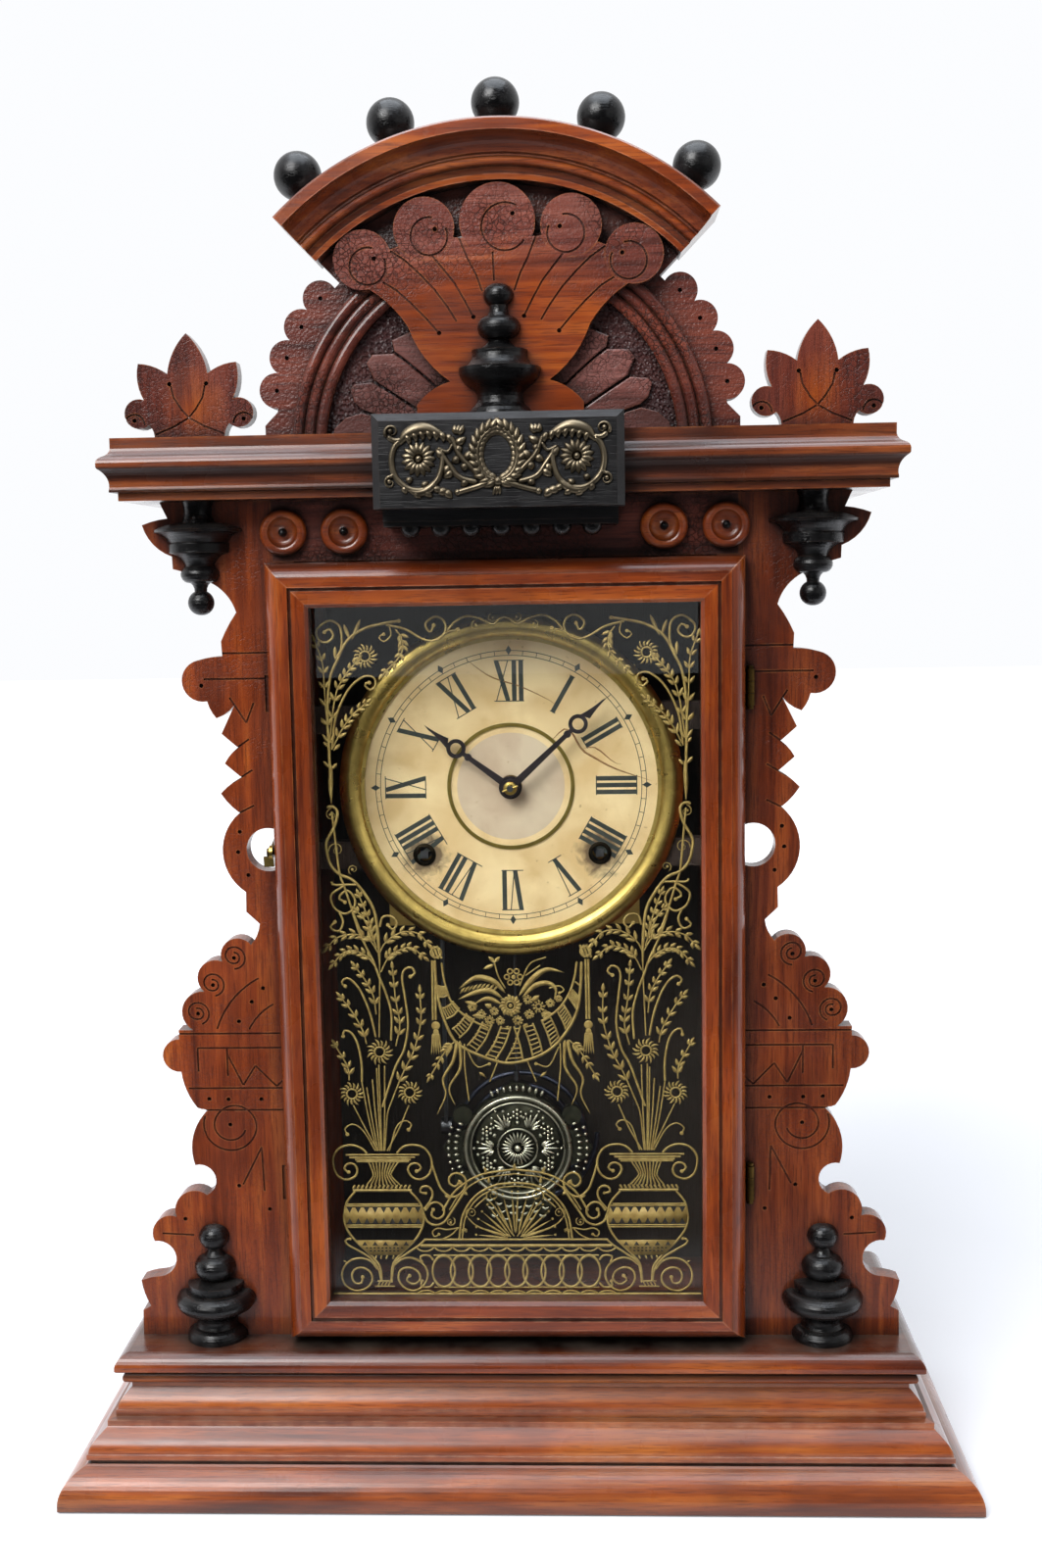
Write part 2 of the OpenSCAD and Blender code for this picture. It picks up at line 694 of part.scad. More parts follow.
// The applied bronze: a wreath, crossed stems, scrolls and daisies
module plaque_bronze_ornament() {
    y = plaque_front;
    wreath = [0, plaque_mid + 2];
    color(bronze) {
        panel(y + bronze_t, bronze_t) difference() {
            union() {
                translate(wreath) circle(r = 8.6);
                for (i = [0 : 8], side = [-1, 1]) {
                    a = -78 + i * 19;
                    translate(wreath + 8 * [side * cos(a), sin(a)]) rotate(90 - side * (90 - a - 50))
                        polygon(concat(bow([-2.4, 0], [2.6, 0], 1.2, 4), bow([2.6, 0], [-2.4, 0], 1.2, 4)));
                }
            }
            translate(wreath) circle(r = 6.2);
        }
        panel(y + bronze_t, bronze_t) for (side = [-1, 1])
            translate([0, wreath.y - 9.6]) rotate(side * 18) translate([side < 0 ? -15 : 5.4, -0.9])
                square([9.6, 1.8]);
        both() {
            bronze_scroll([27.5, plaque_mid + 1], 8.2, 0.9, 3, 200, 1.5, bronze_t * 1.4);
            translate([27.5, -y, plaque_mid + 1]) rotate([90, 0, 0])
                linear_extrude(bronze_t * 1.2) for (i = [0 : 11]) rotate(i * 30)
                    polygon(concat([[0.6, 0]], bow([0.6, 0], [5.6, 0], 1.1, 4),
                        bow([5.6, 0], [0.6, 0], 1.1, 4)));
            translate([27.5, -y, plaque_mid + 1]) rotate([90, 0, 0])
                cylinder(r1 = 1.5, r2 = 0.9, h = 2.2);
            translate([15.6, -y, plaque_mid + 6.8]) rotate([90, 0, 0]) linear_extrude(bronze_t)
                polygon(concat([[-5, -1]], bow([-5, -1], [5.4, 2.4], -3.2, 6),
                    bow([5.4, 2.4], [-5, -1], 4.6, 6)));
        }
    }
}

module plaque_soffit() {
    inset = 2.4;
    color(ebony) difference() {
        translate([inset - plaque_half, -plaque_back, case_top - soffit_h])
            cube([2 * (plaque_half - inset), plaque_back - board_front, soffit_h]);
        translate([-far / 2, -plaque_back - 1, case_top - soffit_h - 1]) cube([far, 3, 3]);
    }
}

module plaque_beads() {
    low = case_top - soffit_h;
    color(ebony) for (i = [-3 : 3])
        translate([i * bead_pitch, -plaque_back + bead_r + 2.6, low]) difference() {
            translate([0, 0, -0.4]) sphere(r = bead_r, $fn = 32);
            translate([-far / 2, -far / 2, 0]) cube([far, far, far]);
        }
}

// The fan: five curling lobes on a spreading stem
module fan_outline() {
    z = cornice_top;
    translate([0, z + 83.1]) circle(r = 15.2);
    both() {
        translate([29.5, z + 81]) circle(r = 12.3);
        translate([54.6, z + 69.4]) circle(r = 11.8);
        polygon(concat([[0, z + 80], [14, z + 77], [29.5, z + 78], [54.6, z + 69]],
            [[64.4, z + 62.8]],
            bow([64.4, z + 62.8], [36.7, z + 42.6], 3.4, 8),
            bow([36.7, z + 42.6], [20.1, z + 20.8], -2.2, 6),
            bow([20.1, z + 20.8], [33.8, z + 11.8], -1.4, 5),
            [[33.8, z], [0, z]]));
    }
}

module fan_panel() {
    z = cornice_top;
    y = fan_front;
    color(walnut) difference() {
        panel(fan_front, fan_t) fan_outline();
        cut_arc([3, z + 81], 9.3, 60, 325, y);
        cut_dot([6.2, z + 86], y);
        cut_line([-2, z + 71.4], [-1.6, z + 60], y);
        both() {
            cut_arc([-27.4, z + 77.9], 7.4, 80, 385, y);
            cut_dot([-25, z + 80.6], y);
            cut_arc([-52.4, z + 66.8], 7.3, 75, 385, y);
            cut_dot([-49.8, z + 69.8], y);
            cut_path([[-17.4, 80.6], [-15.4, 77], [-12.1, 68.9], [-8.8, 62.6], [-6.4, 56]], z, y);
            cut_path([[-26.6, 70.6], [-22.1, 65.2], [-17.6, 59.5], [-13.6, 52.5], [-10.4, 46.4]], z, y);
            cut_path([[-43.2, 72.6], [-37.2, 68.6], [-31.2, 63], [-25.6, 57], [-20.6, 50.2], [-17, 44.4]],
                z, y);
            cut_path([[-46.5, 60.4], [-41.2, 57.3], [-35.2, 51.8], [-29.1, 45.6], [-24.4, 40.2]], z, y);
            cut_dot([-10.2, z + 46], y);
            cut_dot([-24.2, z + 40], y);
        }
    }
}

// Outline of the scalloped board behind the crest
module tympanum_outline() {
    lobe_ring = arch_r + 9.5;
    intersection() {
        union() {
            translate([0, crest_z]) circle(r = arch_r + 7.6, $fn = 120);
            both() translate([0, cornice_top])
                polygon([[-1, 0], [tympanum_half, 0], [tympanum_half, 5.4], [92, 11], [-1, 11]]);
            both() for (i = [0 : 3])
                translate([0, crest_z] + lobe_ring * [sin(50 + 8.3 * i), cos(50 + 8.3 * i)])
                    circle(r = 7.2);
            translate([0, crest_z])
                polygon(concat([[0, 0]], arc([0, 0], crest_in - glue_gap, 46, 134, 40)));
        }
        translate([-far / 2, cornice_top]) square([far, far]);
    }
}

module tympanum_board() {
    lobe_ring = arch_r + 9.5;
    color(dark_walnut) difference() {
        panel(crest_board_front, crest_board_t) tympanum_outline();
        for (i = [0 : 3], side = [-1, 1])
            cut_dot([0, crest_z] + lobe_ring * [side * sin(50 + 8.3 * i), cos(50 + 8.3 * i)],
                crest_board_front);
    }
}

// A pointed leaf that grows from its foot, at an angle from upright
module leaf(foot, angle, span, half) {
    translate(foot) rotate(-angle)
        polygon(concat([[0, 0]], bow([0, 0], [0, span], half, 10), bow([0, span], [0, 0], half, 10)));
}

// Carved leaves between the arch and the fan
module leaf_panel() {
    z = cornice_top;
    color(dark_walnut) panel(crest_board_front + leaf_t, leaf_t) difference() {
        intersection() {
            both() union() {
                leaf([29, z - 6], 62, 40, 6.4);
                leaf([26, z], 44, 51, 7.6);
                leaf([26, z + 6], 26, 50, 7);
                leaf([40, z - 4], 84, 31, 5);
            }
            translate([0, crest_z]) circle(r = arch_r - arch_w - 0.4);
            translate([-far / 2, z]) square([far, far]);
        }
        fan_outline();
    }
}

// The reeded half-round arch, which stops at the fan
module arch_moulding() {
    reed = arch_w / 3;
    rim = arch_r;
    color(dark_walnut) difference() {
        translate([0, -crest_board_front, crest_z]) rotate([90, 0, 0]) rotate_extrude($fn = 120)
            polygon(concat([[rim - arch_w, 0], [rim, 0]],
                [[rim, arch_t - 1.6]],
                bow([rim, arch_t - 1.6], [rim - reed + 0.4, arch_t - 1.2], 1.3, 6),
                [[rim - reed, arch_t - 2]],
                bow([rim - reed, arch_t - 2], [rim - 2 * reed + 0.4, arch_t - 1.2], 1.3, 6),
                [[rim - 2 * reed, arch_t - 2]],
                bow([rim - 2 * reed, arch_t - 2], [rim - arch_w, arch_t - 1.6], 1.3, 6)));
        translate([-far / 2, -far / 2, cornice_top - far]) cube([far, far, far]);
        translate([0, far / 2, 0]) rotate([90, 0, 0]) linear_extrude(far) fan_outline();
    }
}

// The curved crest moulding, cut square to its run at both ends
module crest_moulding() {
    rim = crest_r;
    front = crest_front - crest_board_back;
    nose = front - 9;
    cut = 90 - crest_angle;
    color(walnut) translate([0, -crest_board_back, crest_z]) rotate([90, 0, 0])
        rotate([0, 0, cut]) rotate_extrude(angle = 2 * crest_angle, $fn = 160)
            polygon(concat([[crest_in, 0], [rim, 0], [rim, front - 0.8], [rim - 0.8, front],
                [rim - 5, front]],
                bow([rim - 5, front], [rim - 11.2, nose - 0.6], -1.8, 8),
                [[rim - 11.8, nose - 1.8], [rim - 12.4, nose - 1.8]],
                bow([rim - 12.4, nose - 1.8], [rim - 15.8, nose - 2.4], 1.4, 8),
                [[rim - 16, nose - 4.8], [crest_in + 2.4, nose - 5], [crest_in + 2.3, nose - 4],
                    [crest_in, nose - 4.2]]));
}

// Each ball is cut square over the crest's centre and then turned to its place
module crest_balls() {
    color(ebony) for (i = [-2 : 2])
        translate([0, ball_y, crest_z]) rotate([0, i * ball_step, 0]) difference() {
            translate([0, 0, ball_ring]) sphere(r = ball_r, $fn = 64);
            rotate([90, 0, 0]) cylinder(r = crest_r + glue_gap, h = far, center = true, $fn = 160);
        }
}

// Half of the palmette's outline, from the middle of its foot to its tip
module palmette_half() {
    polygon(concat([[0, 0], [14.6, 0]],
        bow([14.6, 0], [16.6, 6.4], -0.8, 4),
        bow([16.6, 6.4], [18.4, 16.4], 9.2, 16),
        bow([18.4, 16.4], [20.2, 31], 1.4, 6),
        bow([20.2, 31], [8.3, 26.6], 1, 5),
        bow([8.3, 26.6], [0, 42.8], 1.6, 8)));
}

module palmette() {
    s = palmette_size;
    t = board_t - 1;
    y = crest_board_front + 4;
    color(walnut) translate([palmette_x, 0, cornice_top]) difference() {
        panel(y, t) scale([s, s]) {
            palmette_half();
            mirror([1, 0]) palmette_half();
        }
        both() {
            cut_dot(s * [7.6, 22.6], y);
            cut_dot(s * [22.6, 8.2], y);
            cut_arc(s * [22.6, 6.4], 4.2 * s, 0, 180, y);
            cut_path(s * [[7, 21.8], [6, 17.2], [3, 12.4], [0, 9], [-6, 5.6], [-14, 2.4]], 0, y);
        }
    }
}

module palmettes() {
    both() palmette();
}

// The turned finial in front of the fan
module centre_finial() {
    outline = concat([[0, 0], [12.6, 0], [12.6, 4]],
        bow([12.6, 4], [11.8, 9.6], 0.6, 4),
        bow([11.8, 9.6], [9.4, 15.4], -1.2, 5),
        bow([9.4, 15.4], [12.4, 18.4], -0.4, 3),
        bow([12.4, 18.4], [16.6, 25.6], 1.2, 6),
        bow([16.6, 25.6], [11, 31], -1.6, 6),
        [[11.2, 32.6]],
        bow([11.2, 32.6], [3.6, 37.2], -1.2, 5),
        bow([3.6, 37.2], [4.6, 46], 4.6, 12),
        bow([4.6, 46], [3.6, 50.2], -0.4, 3),
        bow([3.6, 50.2], [0, 58.4], 4.2, 12));
    color(ebony) split_turning(outline, 0, -fan_front, cornice_top);
}

// A hanging drop, turned, split and glued under the cornice
module hanging_drops() {
    outline = concat([[0, 0]],
        bow([0, -46.9], [2.6, -37], 4.2, 12),
        bow([2.6, -37], [4.2, -33.4], -0.5, 3),
        bow([4.2, -33.4], [6, -26.6], 3, 8),
        [[6.2, -25.6]],
        bow([6.2, -25.6], [12.4, -21], -1, 5),
        [[12.6, -17.4], [12.2, -16.6]],
        bow([12.2, -16.6], [18.2, -12.4], -1, 5),
        [[18.4, -11.4], [16.4, -10.4]],
        bow([16.4, -10.4], [7, -8.6], 0.4, 3),
        bow([7, -8.6], [6.6, 0], -1, 5));
    color(ebony) both() split_turning(outline, drop_x, -board_front, case_top);
}

// A split finial that stands on the base board
module foot_finials() {
    outline = concat([[0, 0], [13.2, 0]],
        bow([13.2, 0], [9.4, 5.4], 1.4, 6),
        bow([9.4, 5.4], [9.4, 9.8], -0.6, 4),
        bow([9.4, 9.8], [15, 13.4], -0.6, 4),
        bow([15, 13.4], [12, 21.4], 4, 10),
        [[12.2, 25.4], [5, 26.6]],
        bow([5, 26.6], [4.8, 37.4], 4.2, 12),
        bow([4.8, 37.4], [3, 40.4], -0.3, 3),
        bow([3, 40.4], [0, 50.8], 5.2, 12));
    color(ebony) both() split_turning(outline, finial_x, -board_front, base_h);
}

// Section of the door frame, from its outer edge inwards, and how far forward
function door_section() =
    concat([[0, door_back], [0, door_front - 8.6]],
        bow([0, door_front - 8.6], [6, door_front - 0.6], -1.4, 8),
        [[6.2, door_front], [10.4, door_front], [10.6, door_front - 1.6],
            [11.6, door_front - 1.6], [11.8, door_front - 0.6], [17.2, door_front - 0.6],
            [rail_w, door_front - 2], [rail_w, glass_front],
            [rail_w - glass_bite - 0.2, glass_front], [rail_w - glass_bite - 0.2, door_back]]);

// The four mitred members, as one run for each side
module door_member(upright, sign) {
    mid = (door_z + door_top) / 2;
    section = door_section();
    reach = rail_w + 1;
    intersection() {
        if (upright)
            linear_extrude(far * 2)
                polygon([for (p = section) [sign * (door_half - p.x), -p.y]]);
        else
            rotate([90, 0, 90]) linear_extrude(far, center = true)
                polygon([for (p = section) [-p.y, mid + sign * (door_h / 2 - p.x)]]);
        translate([0, 0, mid]) rotate([90, 0, 0]) linear_extrude(far, center = true)
            if (upright)
                polygon([[sign * door_half, -door_h / 2], [sign * door_half, door_h / 2],
                    [sign * (door_half - reach), door_h / 2 - reach],
                    [sign * (door_half - reach), reach - door_h / 2]]);
            else
                polygon([[-door_half, sign * door_h / 2], [door_half, sign * door_h / 2],
                    [door_half - reach, sign * (door_h / 2 - reach)],
                    [reach - door_half, sign * (door_h / 2 - reach)]]);
    }
}

module door_stiles() {
    color(walnut) {
        difference() {
            door_member(true, 1);
            for (low = [hinge_low, hinge_high])
                translate([hinge_x - 12, -door_back - leaf_plate - 0.1, base_h + low - 0.2])
                    cube([12, 2, hinge_h + 0.4]);
        }
        difference() {
            door_member(true, -1);
            translate([-door_half - 1, latch_pivot_y, latch_pivot_z]) rotate([0, 90, 0])
                cylinder(r = 1, h = 9);
        }
    }
}

module door_rails() {
    color(walnut) {
        door_member(false, 1);
        door_member(false, -1);
    }
}

module door_glass() {
    high = door_h - 2 * (rail_w - glass_bite);
    color([0.8, 0.88, 0.85, 0.3]) translate([-glass_half, -glass_front, door_z + rail_w - glass_bite])
        cube([2 * glass_half, glass_t, high]);
}

// Thin wooden strips that hold the glass from behind
module glass_beads() {
    w = 3.2;
    high = door_h - 2 * (rail_w - glass_bite);
    low = door_z + rail_w - glass_bite;
    t = glass_back - door_back - 0.4;
    color(dark_walnut) {
        both() translate([glass_half - w, -glass_back, low]) cube([w, t, high]);
        for (z = [low, low + high - w])
            translate([w - glass_half + 0.1, -glass_back, z]) cube([2 * (glass_half - w - 0.1), t, w]);
    }
}

// A knuckle of a hinge between two heights, bored for its pin
module knuckle(low, high) {
    translate([hinge_x, hinge_y, low]) difference() {
        cylinder(r = knuckle_r, h = high - low);
        translate([0, 0, -1]) cylinder(r = hinge_pin_r + pin_clear, h = high - low + 2);
    }
}

// Leaf of a hinge let into wood, with tongues that reach its own knuckles
module hinge_leaf(z, y, spans) {
    difference() {
        union() {
            translate([hinge_x - 11.8, y, z]) cube([9.2, leaf_plate, hinge_h]);
            for (s = spans)
                translate([hinge_x - 3, y, z + s[0]]) cube([3 + 0.4, leaf_plate, s[1] - s[0]]);
            for (s = spans) knuckle(z + s[0], z + s[1]);
        }
        translate([hinge_x, hinge_y, z - 1]) cylinder(r = hinge_pin_r + pin_clear, h = hinge_h + 2);
    }
}

knuckle_gap = 0.1;
outer_knuckles = [[0, hinge_h / 3 - knuckle_gap], [2 * hinge_h / 3 + knuckle_gap, hinge_h]];
middle_knuckle = [[hinge_h / 3 + knuckle_gap, 2 * hinge_h / 3 - knuckle_gap]];
catch_y = -board_back + 3.6;
catch_z = latch_pivot_z - 2.4;

// The hinge leaves on the case and the pin that the latch hooks over
module case_brass_fittings() {
    color(brass) {
        for (low = [hinge_low, hinge_high])
            hinge_leaf(base_h + low, -board_front, outer_knuckles);
        translate([-case_half - 4.6, catch_y, catch_z]) rotate([0, 90, 0])
            cylinder(r = 0.9, h = 4.6, $fn = 24);
    }
}

// The hinge leaves on the door and the screw that the latch turns on
module door_brass_fittings() {
    color(brass) {
        for (low = [hinge_low, hinge_high])
            hinge_leaf(base_h + low, -door_back - leaf_plate, middle_knuckle);
        translate([latch_x - latch_plate - 0.1, latch_pivot_y, latch_pivot_z])
            rotate([0, 90, 0]) cylinder(r = 0.95, h = 8 + latch_plate);
        translate([latch_x - latch_plate - 1.1, latch_pivot_y, latch_pivot_z])
            rotate([0, 90, 0]) cylinder(r = 1.8, h = 1);
    }
}

module hinge_pins() {
    color(brass) for (low = [hinge_low, hinge_high]) translate([hinge_x, hinge_y, base_h + low]) {
        translate([0, 0, -0.6]) cylinder(r = hinge_pin_r, h = hinge_h + 1.2);
        translate([0, 0, -1.4]) cylinder(r = 1.5, h = 1.3);
        translate([0, 0, hinge_h + 0.1]) cylinder(r = 1.5, h = 1.3);
    }
}

// The latch: a hooked lever that passes through the eye hole, with a finger tab
module door_latch() {
    arm = catch_y - latch_pivot_y + 3.4;
    color(brass) translate([latch_x, latch_pivot_y, latch_pivot_z]) rotate([latch_rest, 0, 0])
        difference() {
            union() {
                rotate([90, 0, -90]) linear_extrude(latch_plate) {
                    circle(r = 3);
                    polygon([[0, -1.4], [0, 1.4], [-arm, 1.2], [-arm, -4.4], [1.8 - arm, -4.4],
                        [1.8 - arm, -1.4]]);
                }
                translate([-4.2, -1, -6.4]) cube([4.2, 1.4, 4.4]);
            }
            translate([-5, 0, 0]) rotate([0, 90, 0]) cylinder(r = 1, h = 10);
        }
}

// The spun brass rim round the dial
module dial_bezel() {
    flange = dial_r - 2.8;
    color(brass) translate([0, dial_back, dial_cz]) rotate([90, 0, 0]) rotate_extrude($fn = 120)
        polygon(concat([[flange, 0], [dial_r, 0], [dial_r, dial_t + 0.6]],
            bow([dial_r, dial_t + 0.6], [dial_sight_r + 1.6, dial_t + 1.2], 2.6, 10),
            [[dial_sight_r, dial_t + 1], [dial_sight_r, dial_t], [flange, dial_t]]));
}

module dial_plate() {
    color([0.88, 0.8, 0.62]) panel(-dial_face, dial_t) difference() {
        translate([0, dial_cz]) circle(r = dial_r - 3, $fn = 120);
        translate([0, dial_cz]) circle(r = 5);
        for (side = [-1, 1]) translate([side * wind_x, wind_z]) circle(r = 4);
    }
}

// The brass ring on the dial and the bushes of its winding holes
module dial_brass_rings() {
    color(brass) {
        panel(0.5 - dial_face, 0.5) translate([0, dial_cz]) difference() {
            circle(r = 27.8, $fn = 96);
            circle(r = 26.2, $fn = 96);
        }
        for (side = [-1, 1]) translate([side * wind_x, dial_face, wind_z]) rotate([90, 0, 0])
            rotate_extrude()
                polygon([[3.2, -dial_t - 0.6], [3.9, -dial_t - 0.6], [3.9, 0], [5, 0], [5, 0.5],
                    [4, 0.9], [3.2, 0.9]]);
    }
}

// A slim hand with a ring near its point; angles are clockwise from twelve
module hand(span, ring_at, hub_r, bore_r, angle, y) {
    color(blued) panel(-y + hand_t, hand_t) translate([0, dial_cz]) rotate(-angle) difference() {
        union() {
            circle(r = hub_r);
            polygon([[-1.7, 0], [1.7, 0], [0.9, ring_at - 3.6], [-0.9, ring_at - 3.6]]);
            translate([0, ring_at]) circle(r = 4.2);
            polygon(concat(bow([2.4, ring_at + 3], [0.3, span], -0.5, 6),
                bow([-0.3, span], [-2.4, ring_at + 3], -0.5, 6)));
            translate([0, ring_at - 6.4]) circle(r = 1.6);
        }
        circle(r = bore_r);
        translate([0, ring_at]) circle(r = 2.5);
    }
}

module hour_hand() {
    hand(hour_len, hour_len - 17, 5, hour_pipe_r - 0.4, hour_angle, hour_hand_y);
}

module minute_hand() {
    hand(minute_len, minute_len - 17, 4, centre_r, minute_angle, minute_hand_y);
}

// The domed brass collet and the taper pin that hold the minute hand
module hand_collet() {
    front = minute_hand_y - hand_t;
    color(brass) translate([0, front, dial_cz]) rotate([90, 0, 0]) {
        rotate_extrude() polygon(concat([[centre_r, 0], [3, 0]],
            bow([3, 0], [centre_r, 1.2], 0.5, 5)));
        translate([0, 0, 1.7]) rotate([0, 90, 20]) difference() {
            cylinder(r = 0.4, h = 7, center = true, $fn = 24);
            cylinder(r = 1, h = 2 * centre_r, center = true);
        }
    }
}

// A toothed wheel: straight-sided teeth with room between them
module wheel_2d(teeth, mod, thick = 0.36) {
    pitch_r = teeth * mod / 2;
    root = pitch_r - 1.2 * mod;
    tip = pitch_r + 0.85 * mod;
    step = 360 / teeth;
    polygon([for (i = [0 : teeth - 1], q = [[root, -0.27], [pitch_r, -thick / 2], [tip, -0.1],
        [tip, 0.1], [pitch_r, thick / 2], [root, 0.27]])
        q[0] * [cos(step * (i + q[1])), sin(step * (i + q[1]))]]);
}

// A wheel in the clock, turned by an angle so that it meshes at rest
module wheel_at(at, y, t, turn) {
    translate([at.x, y + t, at.y]) rotate([90, 0, 0]) rotate([0, 0, turn]) linear_extrude(t)
        children();
}

// An arbor or pipe along the clock's depth, from one y to another
module rod_at(at, from, to, r) {
    translate([at.x, to, at.y]) rotate([90, 0, 0]) cylinder(r = r, h = to - from);
}

centre_at = [0, dial_cz];
time_at = [wind_x, wind_z];
strike_at = [-wind_x, wind_z];

// The hour wheel on its pipe, which carries the hour hand
module hour_wheel() {
    color(brass) difference() {
        union() {
            wheel_at(centre_at, hour_wheel_y, hour_wheel_t, 90 + 180 / hour_teeth)
                wheel_2d(hour_teeth, fine_mod);
            rod_at(centre_at, hour_hand_y - hand_t - 0.3, hour_wheel_y + 0.5, hour_pipe_r - 0.4);
            rod_at(centre_at, hour_hand_y, hour_wheel_y + 0.5, hour_pipe_r);
        }
        rod_at(centre_at, -far / 2, far / 2, pipe_r + arbor_clear);
    }
}

// The minute wheel and its pinion, on a post in the front plate
module minute_wheel() {
    color(brass) difference() {
        union() {
            wheel_at(motion_at, cannon_y, cannon_t, -90) wheel_2d(minute_teeth, fine_mod);
            wheel_at(motion_at, hour_wheel_y - 0.6, cannon_y - hour_wheel_y + 0.7, -90)
                wheel_2d(minute_leaves, fine_mod);
        }
        rod_at(motion_at, -far / 2, far / 2, 1 + arbor_clear);
    }
}

// The centre arbor with its driving pinion behind and its cannon pinion in front
module centre_arbor() {
    color(steel) {
        rod_at(centre_at, minute_hand_y - hand_t - 2.6, back_plate_y + plate_t, centre_r);
        rod_at(centre_at, minute_hand_y, plate_front - 0.4, pipe_r);
        wheel_at(centre_at, cannon_y, cannon_t, 90 + 180 / cannon_teeth)
            wheel_2d(cannon_teeth, fine_mod);
        wheel_at(centre_at, second_y - 0.7, 2.8, centre_turn) wheel_2d(second_leaves, second_mod);
    }
}

// Angles that bring the wheels into mesh at rest: a tooth of each faces a gap of the next
great_aim = atan2(second_at.y - wind_z, second_at.x - wind_x);
second_aim = atan2(dial_cz - second_at.y, -second_at.x);
centre_turn = second_aim + 180 + 180 / second_leaves;

// A great wheel with four crossings, free on its winding arbor
module great_wheel(at, y, turn) {
    root = great_teeth * great_mod / 2 - 1.2 * great_mod;
    color(brass) wheel_at(at, y, wheel_t, turn) difference() {
        wheel_2d(great_teeth, great_mod);
        circle(r = wind_arbor_r + arbor_clear);
        for (i = [0 : 3]) rotate(45 + 90 * i) {
            polygon(concat(arc([0, 0], root - 4, -34, 34, 10), arc([0, 0], 8, 20, -20, 5)));
        }
    }
}

module time_great_wheel() {
    great_wheel(time_at, great_y, great_aim);
}

// The second wheel with its pinion behind it
module time_second_wheel() {
    color(brass) {
        rod_at(second_at, plate_front, back_plate_y + plate_t, 1.1);
        wheel_at(second_at, great_y - 0.5, wheel_t + 1.2, great_aim + 180 + 180 / great_leaves)
            wheel_2d(great_leaves, great_mod);
        wheel_at(second_at, second_y, 1.4, second_aim) difference() {
            wheel_2d(second_teeth, second_mod);
            for (i = [0 : 3]) rotate(45 + 90 * i)
                polygon(concat(arc([0, 0], 14, -32, 32, 8), arc([0, 0], 5.6, 20, -20, 4)));
        }
    }
}

module strike_great_wheel() {
    great_wheel(strike_at, great_y, pin_wheel_angle);
}

// A winding arbor: a square in front, its ratchet wheel, and the arbor between the plates
module winding_arbor(at) {
    square_w = 3.4;
    color(steel) {
        rod_at(at, plate_front - 1, back_plate_y + plate_t, wind_arbor_r);
        translate([at.x - square_w / 2, -0.4, at.y - square_w / 2])
            cube([square_w, plate_front, square_w]);
        wheel_at(at, great_y - 2.2, 1.6, 0) polygon([for (i = [0 : 19], q = [0, 1])
            (q == 0 ? 7 : 8.6) * [cos(18 * i), sin(18 * i)]]);
    }
}

module time_winding_arbor() {
    winding_arbor(time_at);
}

module strike_winding_arbor() {
    winding_arbor(strike_at);
}

// A mainspring: one strip wound round its arbor in half-turns
module mainspring(at, sign) {
    first = wind_arbor_r + 0.3 + spring_t / 2;
    half = spring_pitch / 2;
    w = spring_w;
    translate([at.x, plate_in + 2 + w, at.y]) rotate([90, 0, 0]) mirror([sign < 0 ? 1 : 0, 0, 0])
        for (i = [0 : 2 * spring_turns - 1])
            translate([i % 2 == 0 ? 0 : half, 0, 0]) rotate([0, 0, 180 * (i % 2)])
                rotate_extrude(angle = 180, $fn = 72)
                    translate([first + i * half - spring_t / 2, 0]) square([spring_t, w]);
}

module mainsprings() {
    color(steel) {
        mainspring(time_at, 1);
        mainspring(strike_at, -1);
    }
}

// The wheel whose pins lift the hammer, with the pinion that the strike great wheel drives
module strike_pin_wheel() {
    color(brass) {
        rod_at(pin_wheel_at, plate_front, back_plate_y + plate_t, 1.2);
        wheel_at(pin_wheel_at, great_y - 0.5, wheel_t + 1.2,
            pin_wheel_angle + 180 + 180 / great_leaves) wheel_2d(great_leaves, great_mod);
        difference() {
            rod_at(pin_wheel_at, second_y, second_y + 1.4, pin_ring + 1.8);
            for (i = [0 : 3])
                rod_at(pin_wheel_at + 8.2 * [cos(90 * i), sin(90 * i)], second_y - 1,
                    second_y + 3, 4.2);
        }
        for (i = [0 : 7])
            rod_at(pin_wheel_at + pin_ring * [cos(45 * i), sin(45 * i)], second_y + 1,
                second_y + 4, 0.7);
    }
}

// The escape wheel with raked teeth
module escape_wheel() {
    at = [0, escape_z];
    teeth = 30;
    step = 360 / teeth;
    color(brass) {
        wheel_at(at, escape_y, 1.2, 0) difference() {
            polygon([for (i = [0 : teeth - 1], q = [[escape_r - 2.4, 0], [escape_r, 0.5],
                [escape_r, 0.6], [escape_r - 2.4, 0.8]])
                q[0] * [cos(step * (i + q[1])), sin(step * (i + q[1]))]]);
            for (i = [0 : 3]) rotate(90 * i)
                polygon(concat(arc([0, 0], escape_r - 4, 15, 75, 6), arc([0, 0], 3.4, 60, 30, 3)));
        }
        rod_at(at, plate_front, back_plate_y + plate_t, 1);
        wheel_at(at, escape_y + 3, 5, 0) wheel_2d(7, 0.8);
    }
}

